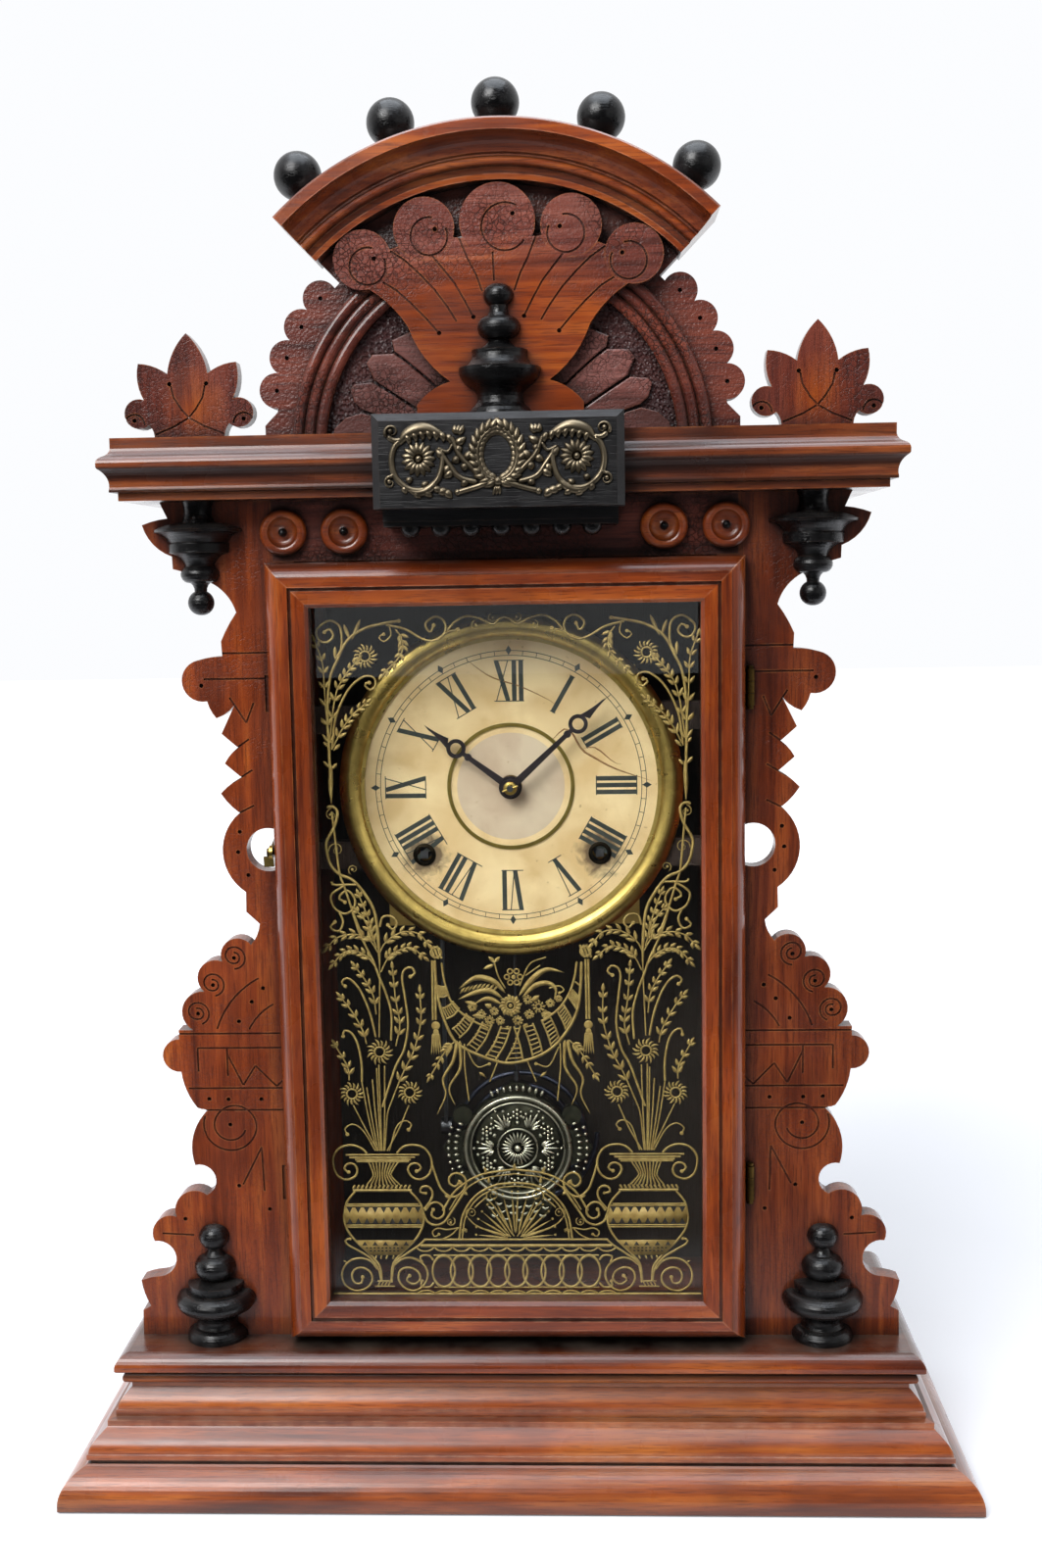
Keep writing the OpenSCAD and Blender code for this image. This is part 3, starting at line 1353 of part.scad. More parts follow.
// The bent strip verge on its arbor, with the crutch wire that drives the pendulum
module verge_and_crutch() {
    span = escape_r + 3.4;
    color(steel) translate([0, 0, verge_z]) {
        rod_at([0, 0], plate_front - 2.2, back_plate_y + plate_t, 0.8);
        panel(-escape_y - 2.4, 3.6) {
            circle(r = 2.4);
            polygon(concat([[-span + 2.8, -12.2], [-span + 1.8, -12]],
                bow([-span + 1.8, -12], [span - 1.8, -12], -10.6, 14),
                [[span - 2.8, -12.2]], bow([span - 2.8, -12.2], [-span + 2.8, -12.2], 9.6, 14)));
        }
        translate([0, plate_front - 1.6, 0]) {
            translate([-0.5, -0.5, -crutch_len]) cube([1, 1, crutch_len]);
            translate([-fork_half, -0.5, -crutch_len - 1]) cube([2 * fork_half, 1, 1]);
            both() translate([rod_r + 0.3, pendulum_y - plate_front, -crutch_len - 1])
                cube([1, 1.6, 1]);
        }
    }
}

// The pendulum's rod on its thin spring, with the hook and the rating screw below
module pendulum_rod() {
    color(steel) translate([0, pendulum_y, 0]) {
        translate([-1.2, -0.1, hang_z - 9]) cube([2.4, 0.2, 8.8]);
        translate([0, 0, bob_z + bob_crown]) cylinder(r = rod_r, h = hang_z - 8.4 - bob_z - bob_crown);
        translate([-1.6, -0.5, hang_z - 10]) cube([3.2, 1, 1.8]);
        translate([0, 0, bob_z + bob_crown]) cylinder(r = 1.3, h = 5);
    }
}

// The bob: a dished disc in a lobed frame with lugs, a crown and an apron
module pendulum_bob() {
    rim = bob_r;
    color([0.72, 0.7, 0.66]) translate([0, 0, bob_z]) {
        translate([0, pendulum_y + bob_t / 2, 0]) rotate([90, 0, 0]) rotate_extrude($fn = 72)
            polygon(concat([[0, 0], [rim - 1, 0], [rim, 1], [rim, bob_t - 2]],
                bow([rim, bob_t - 2], [rim - 5.6, bob_t - 2], 2, 8),
                [[rim - 6, bob_t - 3]], bow([rim - 6, bob_t - 3], [0, bob_t - 1.4], 0.8, 6)));
        panel(bob_t / 2 - pendulum_y - 1, bob_t - 3) difference() {
            union() {
                polygon(concat(bow([-15, -14], [15, -14], 24, 12), bow([15, -14], [-15, -14], 1, 4)));
                polygon(concat([[-20, 12]], bow([-9, 20], [-1.6, bob_crown], -2.4, 6),
                    bow([1.6, bob_crown], [9, 20], -2.4, 6), [[20, 12], [0, 0]]));
                both() {
                    polygon(concat(bow([20, -9], [33.8, 0], 2.4, 6), bow([33.8, 0], [20, 9], 2.4, 6),
                        [[10, 0]]));
                    translate([24.6, 15]) circle(r = 4.4);
                    translate([24.6, -15]) circle(r = 4.4);
                }
            }
            circle(r = rim - 1.2);
        }
    }
}

// Shape of a movement plate with its windows; bores are cut by the plate itself
module plate_2d() {
    w = plate_half;
    difference() {
        translate([-w, plate_low]) square([2 * w, plate_high - plate_low]);
        both() {
            translate([11, plate_high - 32]) square([16, 22]);
            translate([12, plate_low + 8]) square([14, 12]);
            translate([w, (plate_low + plate_high) / 2 + 10]) circle(r = 9);
        }
        translate([0, plate_low]) circle(r = 7);
        translate([0, plate_high]) circle(r = 8);
    }
}

// The holes that every arbor turns in
module plate_bores(y) {
    for (h = [[centre_at, centre_r], [time_at, wind_arbor_r], [strike_at, wind_arbor_r],
        [pin_wheel_at, 1.2], [second_at, 1.1], [[0, escape_z], 1], [[0, verge_z], 0.8],
        [[hammer_x, hammer_z], 1.2]])
        rod_at(h[0], y - 1, y + plate_t + 1, h[1] + arbor_clear);
}

// The front plate with the pendulum's suspension stud and the motion work's post
module front_plate() {
    color(brass) {
        difference() {
            panel(-plate_front, plate_t) plate_2d();
            plate_bores(plate_front);
        }
        rod_at([0, hang_z + 1.6], pendulum_y - 1.6, plate_front + 0.1, 1.6);
        rod_at(motion_at, hour_wheel_y - 1, plate_front + 0.1, 1);
    }
}

module back_plate() {
    color(brass) difference() {
        panel(-back_plate_y, plate_t) plate_2d();
        plate_bores(back_plate_y);
    }
}

// Pillars between the plates and the feet that stand on the back board
module plate_pillars() {
    color(brass) for (x = [-pillar_x, pillar_x], z = pillar_zs) {
        rod_at([x, z], plate_in, back_plate_y, pillar_r);
        rod_at([x, z], back_plate_y + plate_t, back_in, pillar_r + 1);
    }
}

// The striking hammer: its arbor, a tail by the pin wheel, a long wire and a head by the gong
module gong_hammer() {
    head_z = gong_cz + 4;
    tail_aim = atan2(pin_wheel_at.y - hammer_z, pin_wheel_at.x - hammer_x);
    tail = norm(pin_wheel_at - [hammer_x, hammer_z]) - pin_ring - 1.3;
    head_x = -gong_left - 2.2;
    color(steel) {
        rod_at([hammer_x, hammer_z], plate_front - 1, hammer_y + 1.8, 1.2);
        translate([hammer_x, second_y + 2, hammer_z]) rotate([0, -tail_aim, 0])
            translate([0, 0, -0.7]) cube([tail, 1.4, 1.4]);
        translate([hammer_x - 0.9, hammer_y, head_z]) cube([1.8, 1.8, hammer_z - head_z]);
        translate([hammer_x - 0.9, hammer_y, head_z - 0.9])
            cube([1.8, gong_y - hammer_y, 1.8]);
        translate([head_x - 5.2, gong_y, head_z]) rotate([0, 90, 0]) cylinder(r = 4, h = 5.2);
    }
}

// The coiled gong: one wire from its post outwards in half-turns
module gong_coil() {
    half = gong_pitch / 2;
    color(steel) {
        translate([0, gong_y, gong_cz]) rotate([90, 0, 0])
            for (i = [0 : 2 * gong_turns - 1])
                translate([i % 2 == 0 ? 0 : half, 0, 0]) rotate([0, 0, 180 * (i % 2)])
                    rotate_extrude(angle = 180, $fn = 64)
                        translate([gong_r + i * half, 0]) circle(r = gong_wire_r, $fn = 24);
        translate([gong_r, gong_y, gong_cz]) sphere(r = gong_wire_r, $fn = 24);
        rod_at([gong_r, gong_cz], gong_y, gong_y + gong_stem, gong_wire_r);
    }
}

// The cast boss on the back board that the gong's inner end is fixed in
module gong_base() {
    color(ebony) difference() {
        union() {
            rod_at([gong_r, gong_cz], gong_y + gong_wire_r + 1.4, back_in, 4.5);
            rod_at([gong_r, gong_cz], back_in - 2.6, back_in, 13);
        }
        rod_at([gong_r, gong_cz], gong_y, gong_y + gong_stem + 0.1, gong_wire_r + 0.04);
    }
}

base_torus_moulding();
base_lower_cyma();
base_upper_cyma();
base_top_board();
case_sides();
case_back_board();
pine_inner_pieces();
frieze_board();
left_scroll_board();
right_scroll_board();
cornice_moulding();
frieze_rosettes();
plaque_block();
plaque_bronze_ornament();
plaque_soffit();
plaque_beads();
tympanum_board();
leaf_panel();
arch_moulding();
fan_panel();
crest_moulding();
crest_balls();
palmettes();
centre_finial();
hanging_drops();
foot_finials();
door_stiles();
door_rails();
door_glass();
glass_beads();
case_brass_fittings();
door_brass_fittings();
hinge_pins();
door_latch();
dial_bezel();
dial_plate();
dial_brass_rings();
hour_hand();
minute_hand();
hand_collet();
hour_wheel();
minute_wheel();
centre_arbor();
front_plate();
back_plate();
plate_pillars();
time_great_wheel();
time_second_wheel();
strike_great_wheel();
time_winding_arbor();
strike_winding_arbor();
mainsprings();
strike_pin_wheel();
escape_wheel();
verge_and_crutch();
pendulum_rod();
pendulum_bob();
gong_hammer();
gong_coil();
gong_base();
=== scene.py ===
"""Dresses the carved walnut shelf clock: its woods, metals, papered dial, gilt glass and studio."""

import logging
import math
from dataclasses import dataclass, replace
from enum import Enum
from typing import Optional, Sequence, Union
import bmesh
import bpy
from mathutils import Euler, Matrix, Vector


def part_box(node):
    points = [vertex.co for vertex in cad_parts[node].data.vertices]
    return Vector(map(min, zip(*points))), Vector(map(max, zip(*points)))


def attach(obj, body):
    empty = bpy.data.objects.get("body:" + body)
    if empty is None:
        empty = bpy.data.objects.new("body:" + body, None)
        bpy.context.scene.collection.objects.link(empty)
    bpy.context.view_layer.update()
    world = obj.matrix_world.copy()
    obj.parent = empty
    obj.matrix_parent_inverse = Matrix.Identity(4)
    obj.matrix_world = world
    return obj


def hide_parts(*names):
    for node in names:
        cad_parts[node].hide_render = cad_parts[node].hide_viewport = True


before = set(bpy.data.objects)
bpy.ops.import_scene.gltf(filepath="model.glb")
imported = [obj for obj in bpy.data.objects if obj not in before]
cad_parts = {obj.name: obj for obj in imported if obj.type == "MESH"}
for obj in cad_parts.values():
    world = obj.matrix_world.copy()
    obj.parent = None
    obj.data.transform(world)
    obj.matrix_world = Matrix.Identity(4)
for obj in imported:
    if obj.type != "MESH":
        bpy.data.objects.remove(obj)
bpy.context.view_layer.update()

log = logging.getLogger("shelf_clock")

Spot = tuple[float, float]
Place = tuple[float, float, float]
Colour = tuple[float, float, float]
Shades = tuple[Colour, Colour, Colour]
Socket = bpy.types.NodeSocket
Feed = Union[Socket, float, Sequence[float]]
Material = bpy.types.Material
Mesh = bmesh.types.BMesh
Piece = bpy.types.Object

# One millimetre in metres. Drawings and outlines are in millimetres, finishes in metres.
MM = 0.001
# The height of the dial's centre and the plane of the gilding on the glass's back, in millimetres.
DIAL_Z = 300.6
GLASS_BACK = -28.97
# The two winding holes, in metres, which stain the paper and darken their grommets.
WINDING_HOLES = ((-0.0385, 0.0, 0.2708), (0.0385, 0.0, 0.2708))
# How far wear and grime reach in from the edges of a board, in metres.
BOARD_REACH = 0.009
# Corners of a mesh that are nearer than this, in metres, become one.
MERGE = 2e-6
# Left and right.
SIDES = (-1, 1)
# The corners and faces of a mesh are put in order along this direction, so that each run gives the same.
SLANT = Vector((1.0, math.e, math.pi))


def srgb(red: float, green: float, blue: float) -> Colour:
    """Turns a colour as seen, 0 to 255, into the linear one that shaders take."""
    return tuple(
        level / 12.92 if level <= 0.04045 else ((level + 0.055) / 1.055) ** 2.4
        for level in (red / 255, green / 255, blue / 255)
    )


class Tip(Enum):
    """How a stroke of the brush runs out at its ends."""

    ROUND = "round"
    LEAF = "leaf"
    TAIL = "tail"
    SQUARE = "square"


class Grain(Enum):
    """Which way the wood of a piece runs, as the turn that brings its grain on to X."""

    ACROSS = (0.0, 0.0, 0.0)
    UPRIGHT = (0.0, math.pi / 2, 0.0)
    MITRED = (0.0, 0.0, -math.pi / 2)


class Nodes:
    """Adds nodes to one tree and joins them in a line of code each."""

    def __init__(self, tree: bpy.types.NodeTree) -> None:
        """Keeps the tree that the nodes go into."""
        self.tree = tree

    def add(self, kind: str, sockets: Optional[dict] = None, **settings: object) -> bpy.types.Node:
        """Adds a node.

        Args:
            kind: The node's type after "ShaderNode".
            sockets: Values or links for its inputs, by name or number.
            **settings: The node's own options.

        Returns:
            The new node.
        """
        node = self.tree.nodes.new("ShaderNode" + kind)
        for name, value in settings.items():
            setattr(node, name, value)
        self.feed_all(node, sockets or {})
        return node

    def feed(self, socket: Socket, value: Feed) -> None:
        """Links a socket where it is given one, and otherwise sets it to a value or a colour."""
        if isinstance(value, bpy.types.NodeSocket):
            self.tree.links.new(value, socket)
        elif socket.type == "RGBA":
            socket.default_value = (*value[:3], 1.0)
        else:
            socket.default_value = value

    def feed_all(self, node: bpy.types.Node, sockets: dict) -> None:
        """Feeds several inputs of a node, by name or number."""
        for name, value in sockets.items():
            self.feed(node.inputs[name], value)

    def calc(self, way: str, first: Feed, second: Feed = 0.0, clamp: bool = False) -> Socket:
        """Does a sum on one or two numbers and gives its result."""
        return self.add("Math", {0: first, 1: second}, operation=way, use_clamp=clamp).outputs[0]

    def times(self, first: Feed, second: Feed) -> Socket:
        """Multiplies two numbers."""
        return self.calc("MULTIPLY", first, second)

    def plus(self, first: Feed, second: Feed) -> Socket:
        """Adds two numbers."""
        return self.calc("ADD", first, second)

    def minus(self, first: Feed, second: Feed) -> Socket:
        """Takes the second number from the first."""
        return self.calc("SUBTRACT", first, second)

    def mix(self, share: Feed, low: Feed, high: Feed) -> Socket:
        """Mixes two colours by a share and gives the new colour."""
        return self.add("Mix", {0: share, 6: low, 7: high}, data_type="RGBA").outputs[2]

    def span(self, value: Feed, low: float, high: float, to_low: float = 0.0,
             to_high: float = 1.0) -> Socket:
        """Stretches a range of a number over another range, and stops at its ends."""
        sockets = {"Value": value, "From Min": low, "From Max": high, "To Min": to_low, "To Max": to_high}
        return self.add("MapRange", sockets).outputs[0]

    def noise(self, where: Feed, scale: float, detail: float = 4.0, bend: float = 0.0) -> Socket:
        """Gives cloudy noise, from 0 to 1, at so many lumps to the metre."""
        sockets = {"Vector": where, "Scale": scale, "Detail": detail, "Distortion": bend}
        return self.add("TexNoise", sockets).outputs[0]

    def stretch(self, where: Feed, scale: Sequence[float], turn: Sequence[float] = (0, 0, 0)) -> Socket:
        """Turns and then scales a place, so that a pattern lies along a piece."""
        turned = self.add("Mapping", {"Vector": where, "Rotation": turn}).outputs[0]
        return self.add("Mapping", {"Vector": turned, "Scale": scale}).outputs[0]

    def along(self, where: Feed, grain: Grain) -> Socket:
        """Gives a place turned so that the wood's grain runs along X."""
        return self.stretch(where, (1, 1, 1), grain.value)

    def far_from(self, where: Feed, spot: Sequence[float]) -> Socket:
        """Gives the distance of a place from a fixed spot in metres."""
        return self.add("VectorMath", {0: where, 1: spot}, operation="DISTANCE").outputs["Value"]

    def here(self) -> Socket:
        """Gives the place on the object, in metres."""
        return self.add("TexCoord").outputs["Object"]

    def facing(self, axis: str) -> Socket:
        """Gives how far a face looks along an axis, either way."""
        return self.calc("ABSOLUTE", self.part(self.add("TexCoord").outputs["Normal"], axis))

    def part(self, where: Feed, axis: str) -> Socket:
        """Gives one axis of a place or a direction."""
        return self.add("SeparateXYZ", {0: where}).outputs[axis]

    def bump(self, strength: float, depth: float, height: Feed, **under: Feed) -> Socket:
        """Gives a normal that follows a height, on top of another one where "Normal" is given."""
        sockets = {"Strength": strength, "Distance": depth, "Height": height, **under}
        return self.add("Bump", sockets).outputs[0]


class Effects:
    """The node groups that several finishes share, each built once."""

    def __init__(self) -> None:
        """Builds the groups."""
        self._wood = self._wood_grain()
        self._net = self._varnish_crackle()
        self._age = self._age_and_wear()

    def wood(self, nodes: Nodes, place: Socket, shades: Sequence[Feed]) -> bpy.types.Node:
        """Puts wood of three shades into a material."""
        pale, middle, dark = shades
        return self._put(nodes, self._wood, {"Place": place, "Pale": pale, "Middle": middle, "Dark": dark})

    def net(self, nodes: Nodes, place: Socket) -> bpy.types.Node:
        """Puts the net of varnish cracks into a material."""
        return self._put(nodes, self._net, {"Place": place})

    def age(self, nodes: Nodes, place: Socket, reach: float = BOARD_REACH) -> bpy.types.Node:
        """Puts the masks of wear into a material."""
        return self._put(nodes, self._age, {"Place": place, "Reach": reach})

    def _put(self, nodes: Nodes, group: bpy.types.NodeTree, sockets: dict) -> bpy.types.Node:
        """Puts a group into a material and feeds its inputs."""
        node = nodes.add("Group", node_tree=group)
        nodes.feed_all(node, sockets)
        return node

    def _group(self, name: str, takes: dict[str, str], gives: dict[str, str]) -> tuple:
        """Starts a group.

        Args:
            name: The group's name.
            takes: The kinds of its inputs by name.
            gives: The kinds of its outputs by name.

        Returns:
            The group's tree, its nodes helper, the sockets it takes and the node of what it gives.
        """
        tree = bpy.data.node_groups.new(name, "ShaderNodeTree")
        for way, sockets in (("INPUT", takes), ("OUTPUT", gives)):
            for label, kind in sockets.items():
                tree.interface.new_socket(label, in_out=way, socket_type="NodeSocket" + kind)
        return tree, Nodes(tree), tree.nodes.new("NodeGroupInput").outputs, tree.nodes.new("NodeGroupOutput")

    def _wood_grain(self) -> bpy.types.NodeTree:
        """Wood grain that runs along X: broad figure, streaks and fine open pores."""
        takes = {"Place": "Vector", "Pale": "Color", "Middle": "Color", "Dark": "Color"}
        tree, nodes, took, gave = self._group("wood_grain", takes, {"Color": "Color", "Height": "Float"})
        place = took["Place"]
        figure = nodes.noise(nodes.stretch(place, (5.0, 34.0, 34.0)), 1.0, 3.0, 1.2)
        streak = nodes.noise(nodes.stretch(place, (16.0, 330.0, 330.0)), 1.0, 5.0, 0.4)
        pores = nodes.noise(nodes.stretch(place, (90.0, 2100.0, 2100.0)), 1.0, 2.0)
        both = nodes.plus(nodes.times(figure, 0.62), nodes.times(streak, 0.38))
        low = nodes.mix(nodes.span(both, 0.34, 0.5), took["Dark"], took["Middle"])
        wood = nodes.mix(nodes.span(both, 0.5, 0.66), low, took["Pale"])
        open_pore = nodes.span(pores, 0.36, 0.46, 0.55, 0.0)
        height = nodes.minus(nodes.times(streak, 0.5), open_pore)
        nodes.feed_all(gave, {"Color": nodes.mix(open_pore, wood, took["Dark"]), "Height": height})
        return tree

    def _varnish_crackle(self) -> bpy.types.NodeTree:
        """Alligatored varnish: a net of fine cracks round small islands."""
        gives = {"Crack": "Float", "Island": "Float"}
        tree, nodes, took, gave = self._group("varnish_crackle", {"Place": "Vector"}, gives)
        place = took["Place"]
        shift = nodes.add("TexNoise", {"Vector": place, "Scale": 260.0, "Detail": 2.0}).outputs[1]
        small = nodes.add("VectorMath", {0: shift, "Scale": 0.004}, operation="SCALE").outputs[0]
        moved = nodes.add("VectorMath", {0: place, 1: small}, operation="ADD").outputs[0]
        near = nodes.add("TexVoronoi", {"Vector": moved, "Scale": 420.0}, feature="DISTANCE_TO_EDGE")
        patch = nodes.span(nodes.noise(place, 38.0, 3.0), 0.4, 0.58)
        crack = nodes.times(nodes.span(near.outputs[0], 0.02, 0.12, 1.0, 0.0), patch)
        nodes.feed_all(gave, {"Crack": crack, "Island": nodes.noise(place, 900.0, 1.0)})
        return tree

    def _age_and_wear(self) -> bpy.types.NodeTree:
        """Masks for worn edges (on some varnishes also a painted highlight), for painted shade in the
        corners (tarnish on metal) and for dust on what faces up.
        """
        gives = {"Edge": "Float", "Recess": "Float", "Dust": "Float"}
        tree, nodes, took, gave = self._group("age_and_wear", {"Place": "Vector", "Reach": "Float"}, gives)
        place = took["Place"]
        true_normal = nodes.add("NewGeometry").outputs["Normal"]
        radius = nodes.times(took["Reach"], 0.12)
        soft_normal = nodes.add("Bevel", {"Radius": radius}, samples=4).outputs[0]
        flatness = nodes.add("VectorMath", {0: soft_normal, 1: true_normal}, operation="DOT_PRODUCT")
        rough = nodes.span(nodes.noise(place, 160.0, 4.0), 0.38, 0.62)
        edge = nodes.calc("MULTIPLY", nodes.span(flatness.outputs["Value"], 0.97, 0.8), rough, clamp=True)
        # Ambient occlusion darkens corners and hollows: painted shade on wood, tarnish on metal.
        shade = nodes.add("AmbientOcclusion", {"Distance": took["Reach"]}, samples=4).outputs["AO"]
        upward = nodes.part(nodes.add("TexCoord").outputs["Normal"], "Z")
        patchy = nodes.span(nodes.noise(place, 75.0, 6.0), 0.35, 0.7)
        dust = nodes.times(nodes.span(upward, 0.75, 1.0), patchy)
        nodes.feed_all(gave, {"Edge": edge, "Recess": nodes.span(shade, 0.92, 0.35), "Dust": dust})
        return tree


@dataclass(frozen=True)
class Finish:
    """A finish by name, built once and given to as many pieces as wear it."""

    name: str

    def build(self, effects: Effects) -> Material:
        """Makes the material.

        Args:
            effects: The shared groups.

        Returns:
            The material.
        """
        material = bpy.data.materials.new(self.name)
        material.use_nodes = True
        nodes = Nodes(material.node_tree)
        shader = material.node_tree.nodes["Principled BSDF"]
        nodes.feed_all(shader, self.looks(nodes, effects, nodes.here()))
        return material

    def looks(self, nodes: Nodes, effects: Effects, place: Socket) -> dict[str, Feed]:
        """Gives what the shader's sockets are fed.

        Args:
            nodes: The material's nodes.
            effects: The shared groups.
            place: The place on the piece.

        Returns:
            The feeds by the name of their socket.
        """
        raise NotImplementedError


@dataclass(frozen=True)
class Varnish(Finish):
    """Old varnish over walnut, worn at its edges, with painted shade in its corners and on flat faces, and
    on some pieces a painted highlight on its edges.
    """

    shades: Shades
    grain: Grain = Grain.ACROSS
    gloss: float = 0.3
    crackle: float = 0.0
    # How much shade is painted into corners and hollows.
    recess_shade: float = 0.85
    # How much shade is painted onto flat faces that look up or down.
    ledge_shade: float = 0.0
    reach: float = BOARD_REACH
    shine: float = 0.65
    coat_rough: float = 0.12
    # The colour of worn edges; the paler ones given below paint a highlight there too.
    edge_wear_and_highlight: Colour = srgb(176, 104, 52)
    shaded: tuple[Place, ...] = ()
    worn_at: tuple[tuple[float, float, float, float], ...] = ()
    worn_wood: Optional[Shades] = None

    def looks(self, nodes: Nodes, effects: Effects, place: Socket) -> dict[str, Feed]:
        """Lays grain, crackle, wear and dust under a glossy coat, with painted shade and painted highlights.
        """
        along = self._along(nodes, place)
        shades, whole = self._whole(nodes, place)
        wood = effects.wood(nodes, along, shades)
        age = effects.age(nodes, place, self.reach).outputs
        net = effects.net(nodes, place).outputs
        crack = nodes.times(nodes.times(net["Crack"], self.crackle), whole)
        blotch = nodes.span(nodes.noise(place, 17.0, 5.0, 0.6), 0.42, 0.68, 0.0, 0.5)
        colour = nodes.mix(blotch, wood.outputs["Color"], self.shades[2])
        # Painted shade on faces that look straight up or down.
        if self.ledge_shade:
            flat = nodes.span(nodes.facing("Z"), 0.25, 0.95, 0.0, self.ledge_shade)
            colour = nodes.mix(flat, colour, srgb(34, 17, 12))
        for mask, share, tone in (
            (crack, 0.7, srgb(28, 14, 10)),
            # Worn edges, lightened further as a painted highlight where the edge colour is pale.
            (age["Edge"], 0.55, self.edge_wear_and_highlight),
            # Painted shade in corners and hollows.
            (age["Recess"], self.recess_shade, srgb(20, 10, 8)),
            (age["Dust"], 0.16, srgb(150, 136, 122)),
        ):
            colour = nodes.mix(nodes.times(mask, share), colour, tone)
        coat = self.shine
        # Bands of painted shade at given heights, with less coat where the shade is painted.
        if self.shaded:
            height = nodes.part(place, "Z")
            for middle, half, share in self.shaded:
                away = nodes.calc("ABSOLUTE", nodes.minus(height, middle))
                shade = nodes.span(away, 0.4 * half, half, share, 0.0)
                colour = nodes.mix(shade, colour, srgb(30, 14, 9))
                coat = nodes.times(coat, nodes.minus(1.0, shade))
        rough = nodes.span(nodes.noise(place, 55.0, 5.0), 0.3, 0.7, self.gloss - 0.06, self.gloss + 0.14)
        pebbles = nodes.times(nodes.times(net["Island"], 0.9 * self.crackle), whole)
        grain_bump = nodes.bump(0.22, 0.00025, wood.outputs["Height"])
        return {
            "Base Color": colour,
            "Roughness": nodes.plus(rough, nodes.times(age["Recess"], 0.25)),
            "Specular IOR Level": 0.25,
            "Coat Weight": coat,
            "Coat Roughness": self.coat_rough,
            "Normal": nodes.bump(0.8, 0.0004, nodes.minus(pebbles, crack), Normal=grain_bump),
        }

    def _whole(self, nodes: Nodes, place: Socket) -> tuple[Sequence[Feed], Feed]:
        """Gives the wood's shades and how whole its varnish is, 0 where it is worn through."""
        if not self.worn_at:
            return self.shades, 1.0
        away = 1.0
        for x, y, z, reach in self.worn_at:
            away = nodes.calc("MINIMUM", away, nodes.minus(nodes.far_from(place, (x, y, z)), reach))
        frayed = nodes.times(nodes.noise(place, 30.0), 0.024)
        whole = nodes.span(nodes.plus(away, frayed), 0.004, 0.02)
        return [nodes.mix(whole, worn, full) for worn, full in zip(self.worn_wood, self.shades)], whole

    def _along(self, nodes: Nodes, place: Socket) -> Socket:
        """Gives the place with the grain brought on to X, turned round the corner on mitred pieces."""
        if self.grain is not Grain.MITRED:
            return nodes.along(place, self.grain)
        returned = nodes.calc("GREATER_THAN", nodes.facing("X"), nodes.facing("Y"))
        turned = nodes.along(place, self.grain)
        return nodes.add("Mix", {0: returned, 4: place, 5: turned}, data_type="VECTOR").outputs[1]


@dataclass(frozen=True)
class StippledWood(Finish):
    """The board behind the crest, punched all over with a blunt point where it shows inside the arch."""

    shades: Shades
    centre: Place = (0.0, -0.026, 0.444)
    inside: float = 0.0725

    def looks(self, nodes: Nodes, effects: Effects, place: Socket) -> dict[str, Feed]:
        """Punches and darkens the middle of the board, and paints shade into its corners."""
        wood = effects.wood(nodes, place, self.shades).outputs
        age = effects.age(nodes, place).outputs
        punched = nodes.calc("LESS_THAN", nodes.far_from(place, self.centre), self.inside)
        cells = nodes.add("TexVoronoi", {"Vector": place, "Scale": 560.0}).outputs[0]
        pits = nodes.times(nodes.span(cells, 0.1, 0.6), punched)
        colour = nodes.mix(nodes.times(punched, 0.75), wood["Color"], srgb(58, 40, 42))
        lumps = nodes.plus(pits, nodes.times(effects.net(nodes, place).outputs["Island"], 0.4))
        return {
            # Painted shade in corners and hollows.
            "Base Color": nodes.mix(nodes.times(age["Recess"], 0.8), colour, srgb(18, 10, 9)),
            "Roughness": nodes.span(wood["Height"], 0.0, 0.5, 0.42, 0.3),
            "Normal": nodes.bump(1.0, 0.0009, lumps),
        }


@dataclass(frozen=True)
class Ebonised(Finish):
    """Black stained wood with a satin polish that has gone brown where hands rub it."""

    gloss: float = 0.34
    shades: Shades = (srgb(26, 24, 25), srgb(18, 17, 18), srgb(10, 10, 12))

    def looks(self, nodes: Nodes, effects: Effects, place: Socket) -> dict[str, Feed]:
        """Rubs the edges and dusts what faces up."""
        wood = effects.wood(nodes, nodes.along(place, Grain.ACROSS), self.shades).outputs
        age = effects.age(nodes, place).outputs
        colour = nodes.mix(nodes.times(age["Edge"], 0.35), wood["Color"], srgb(80, 58, 44))
        rough = nodes.span(nodes.noise(place, 90.0, 5.0), 0.3, 0.7, self.gloss - 0.05, self.gloss + 0.14)
        return {
            "Base Color": nodes.mix(nodes.times(age["Dust"], 0.12), colour, srgb(128, 124, 120)),
            "Roughness": rough,
            "Normal": nodes.bump(0.3, 0.0003, wood["Height"]),
        }


@dataclass(frozen=True)
class BareWood(Finish):
    """Pine or walnut that was never varnished, with painted shade in its corners and at times an inner face
    painted dark as the shade inside the case.
    """

    shades: Shades
    # The dark colour of the inner face: painted shade of the inside of the case.
    inside: Optional[Colour] = None
    inside_y: float = 0.0

    def looks(self, nodes: Nodes, effects: Effects, place: Socket) -> dict[str, Feed]:
        """Paints shade into the corners, and onto the inner face where a dark colour is given."""
        wood = effects.wood(nodes, nodes.along(place, Grain.UPRIGHT), self.shades).outputs
        age = effects.age(nodes, place).outputs
        # Painted shade in the corners.
        colour = nodes.mix(nodes.times(age["Recess"], 0.5), wood["Color"], srgb(50, 36, 24))
        # The inner face painted dark as the shade inside the case.
        if self.inside:
            front = nodes.calc("LESS_THAN", nodes.part(place, "Y"), self.inside_y)
            colour = nodes.mix(front, colour, self.inside)
        return {
            "Base Color": colour,
            "Roughness": nodes.span(wood["Height"], 0.0, 0.5, 0.85, 0.62),
            "Normal": nodes.bump(0.4, 0.0004, wood["Height"]),
        }


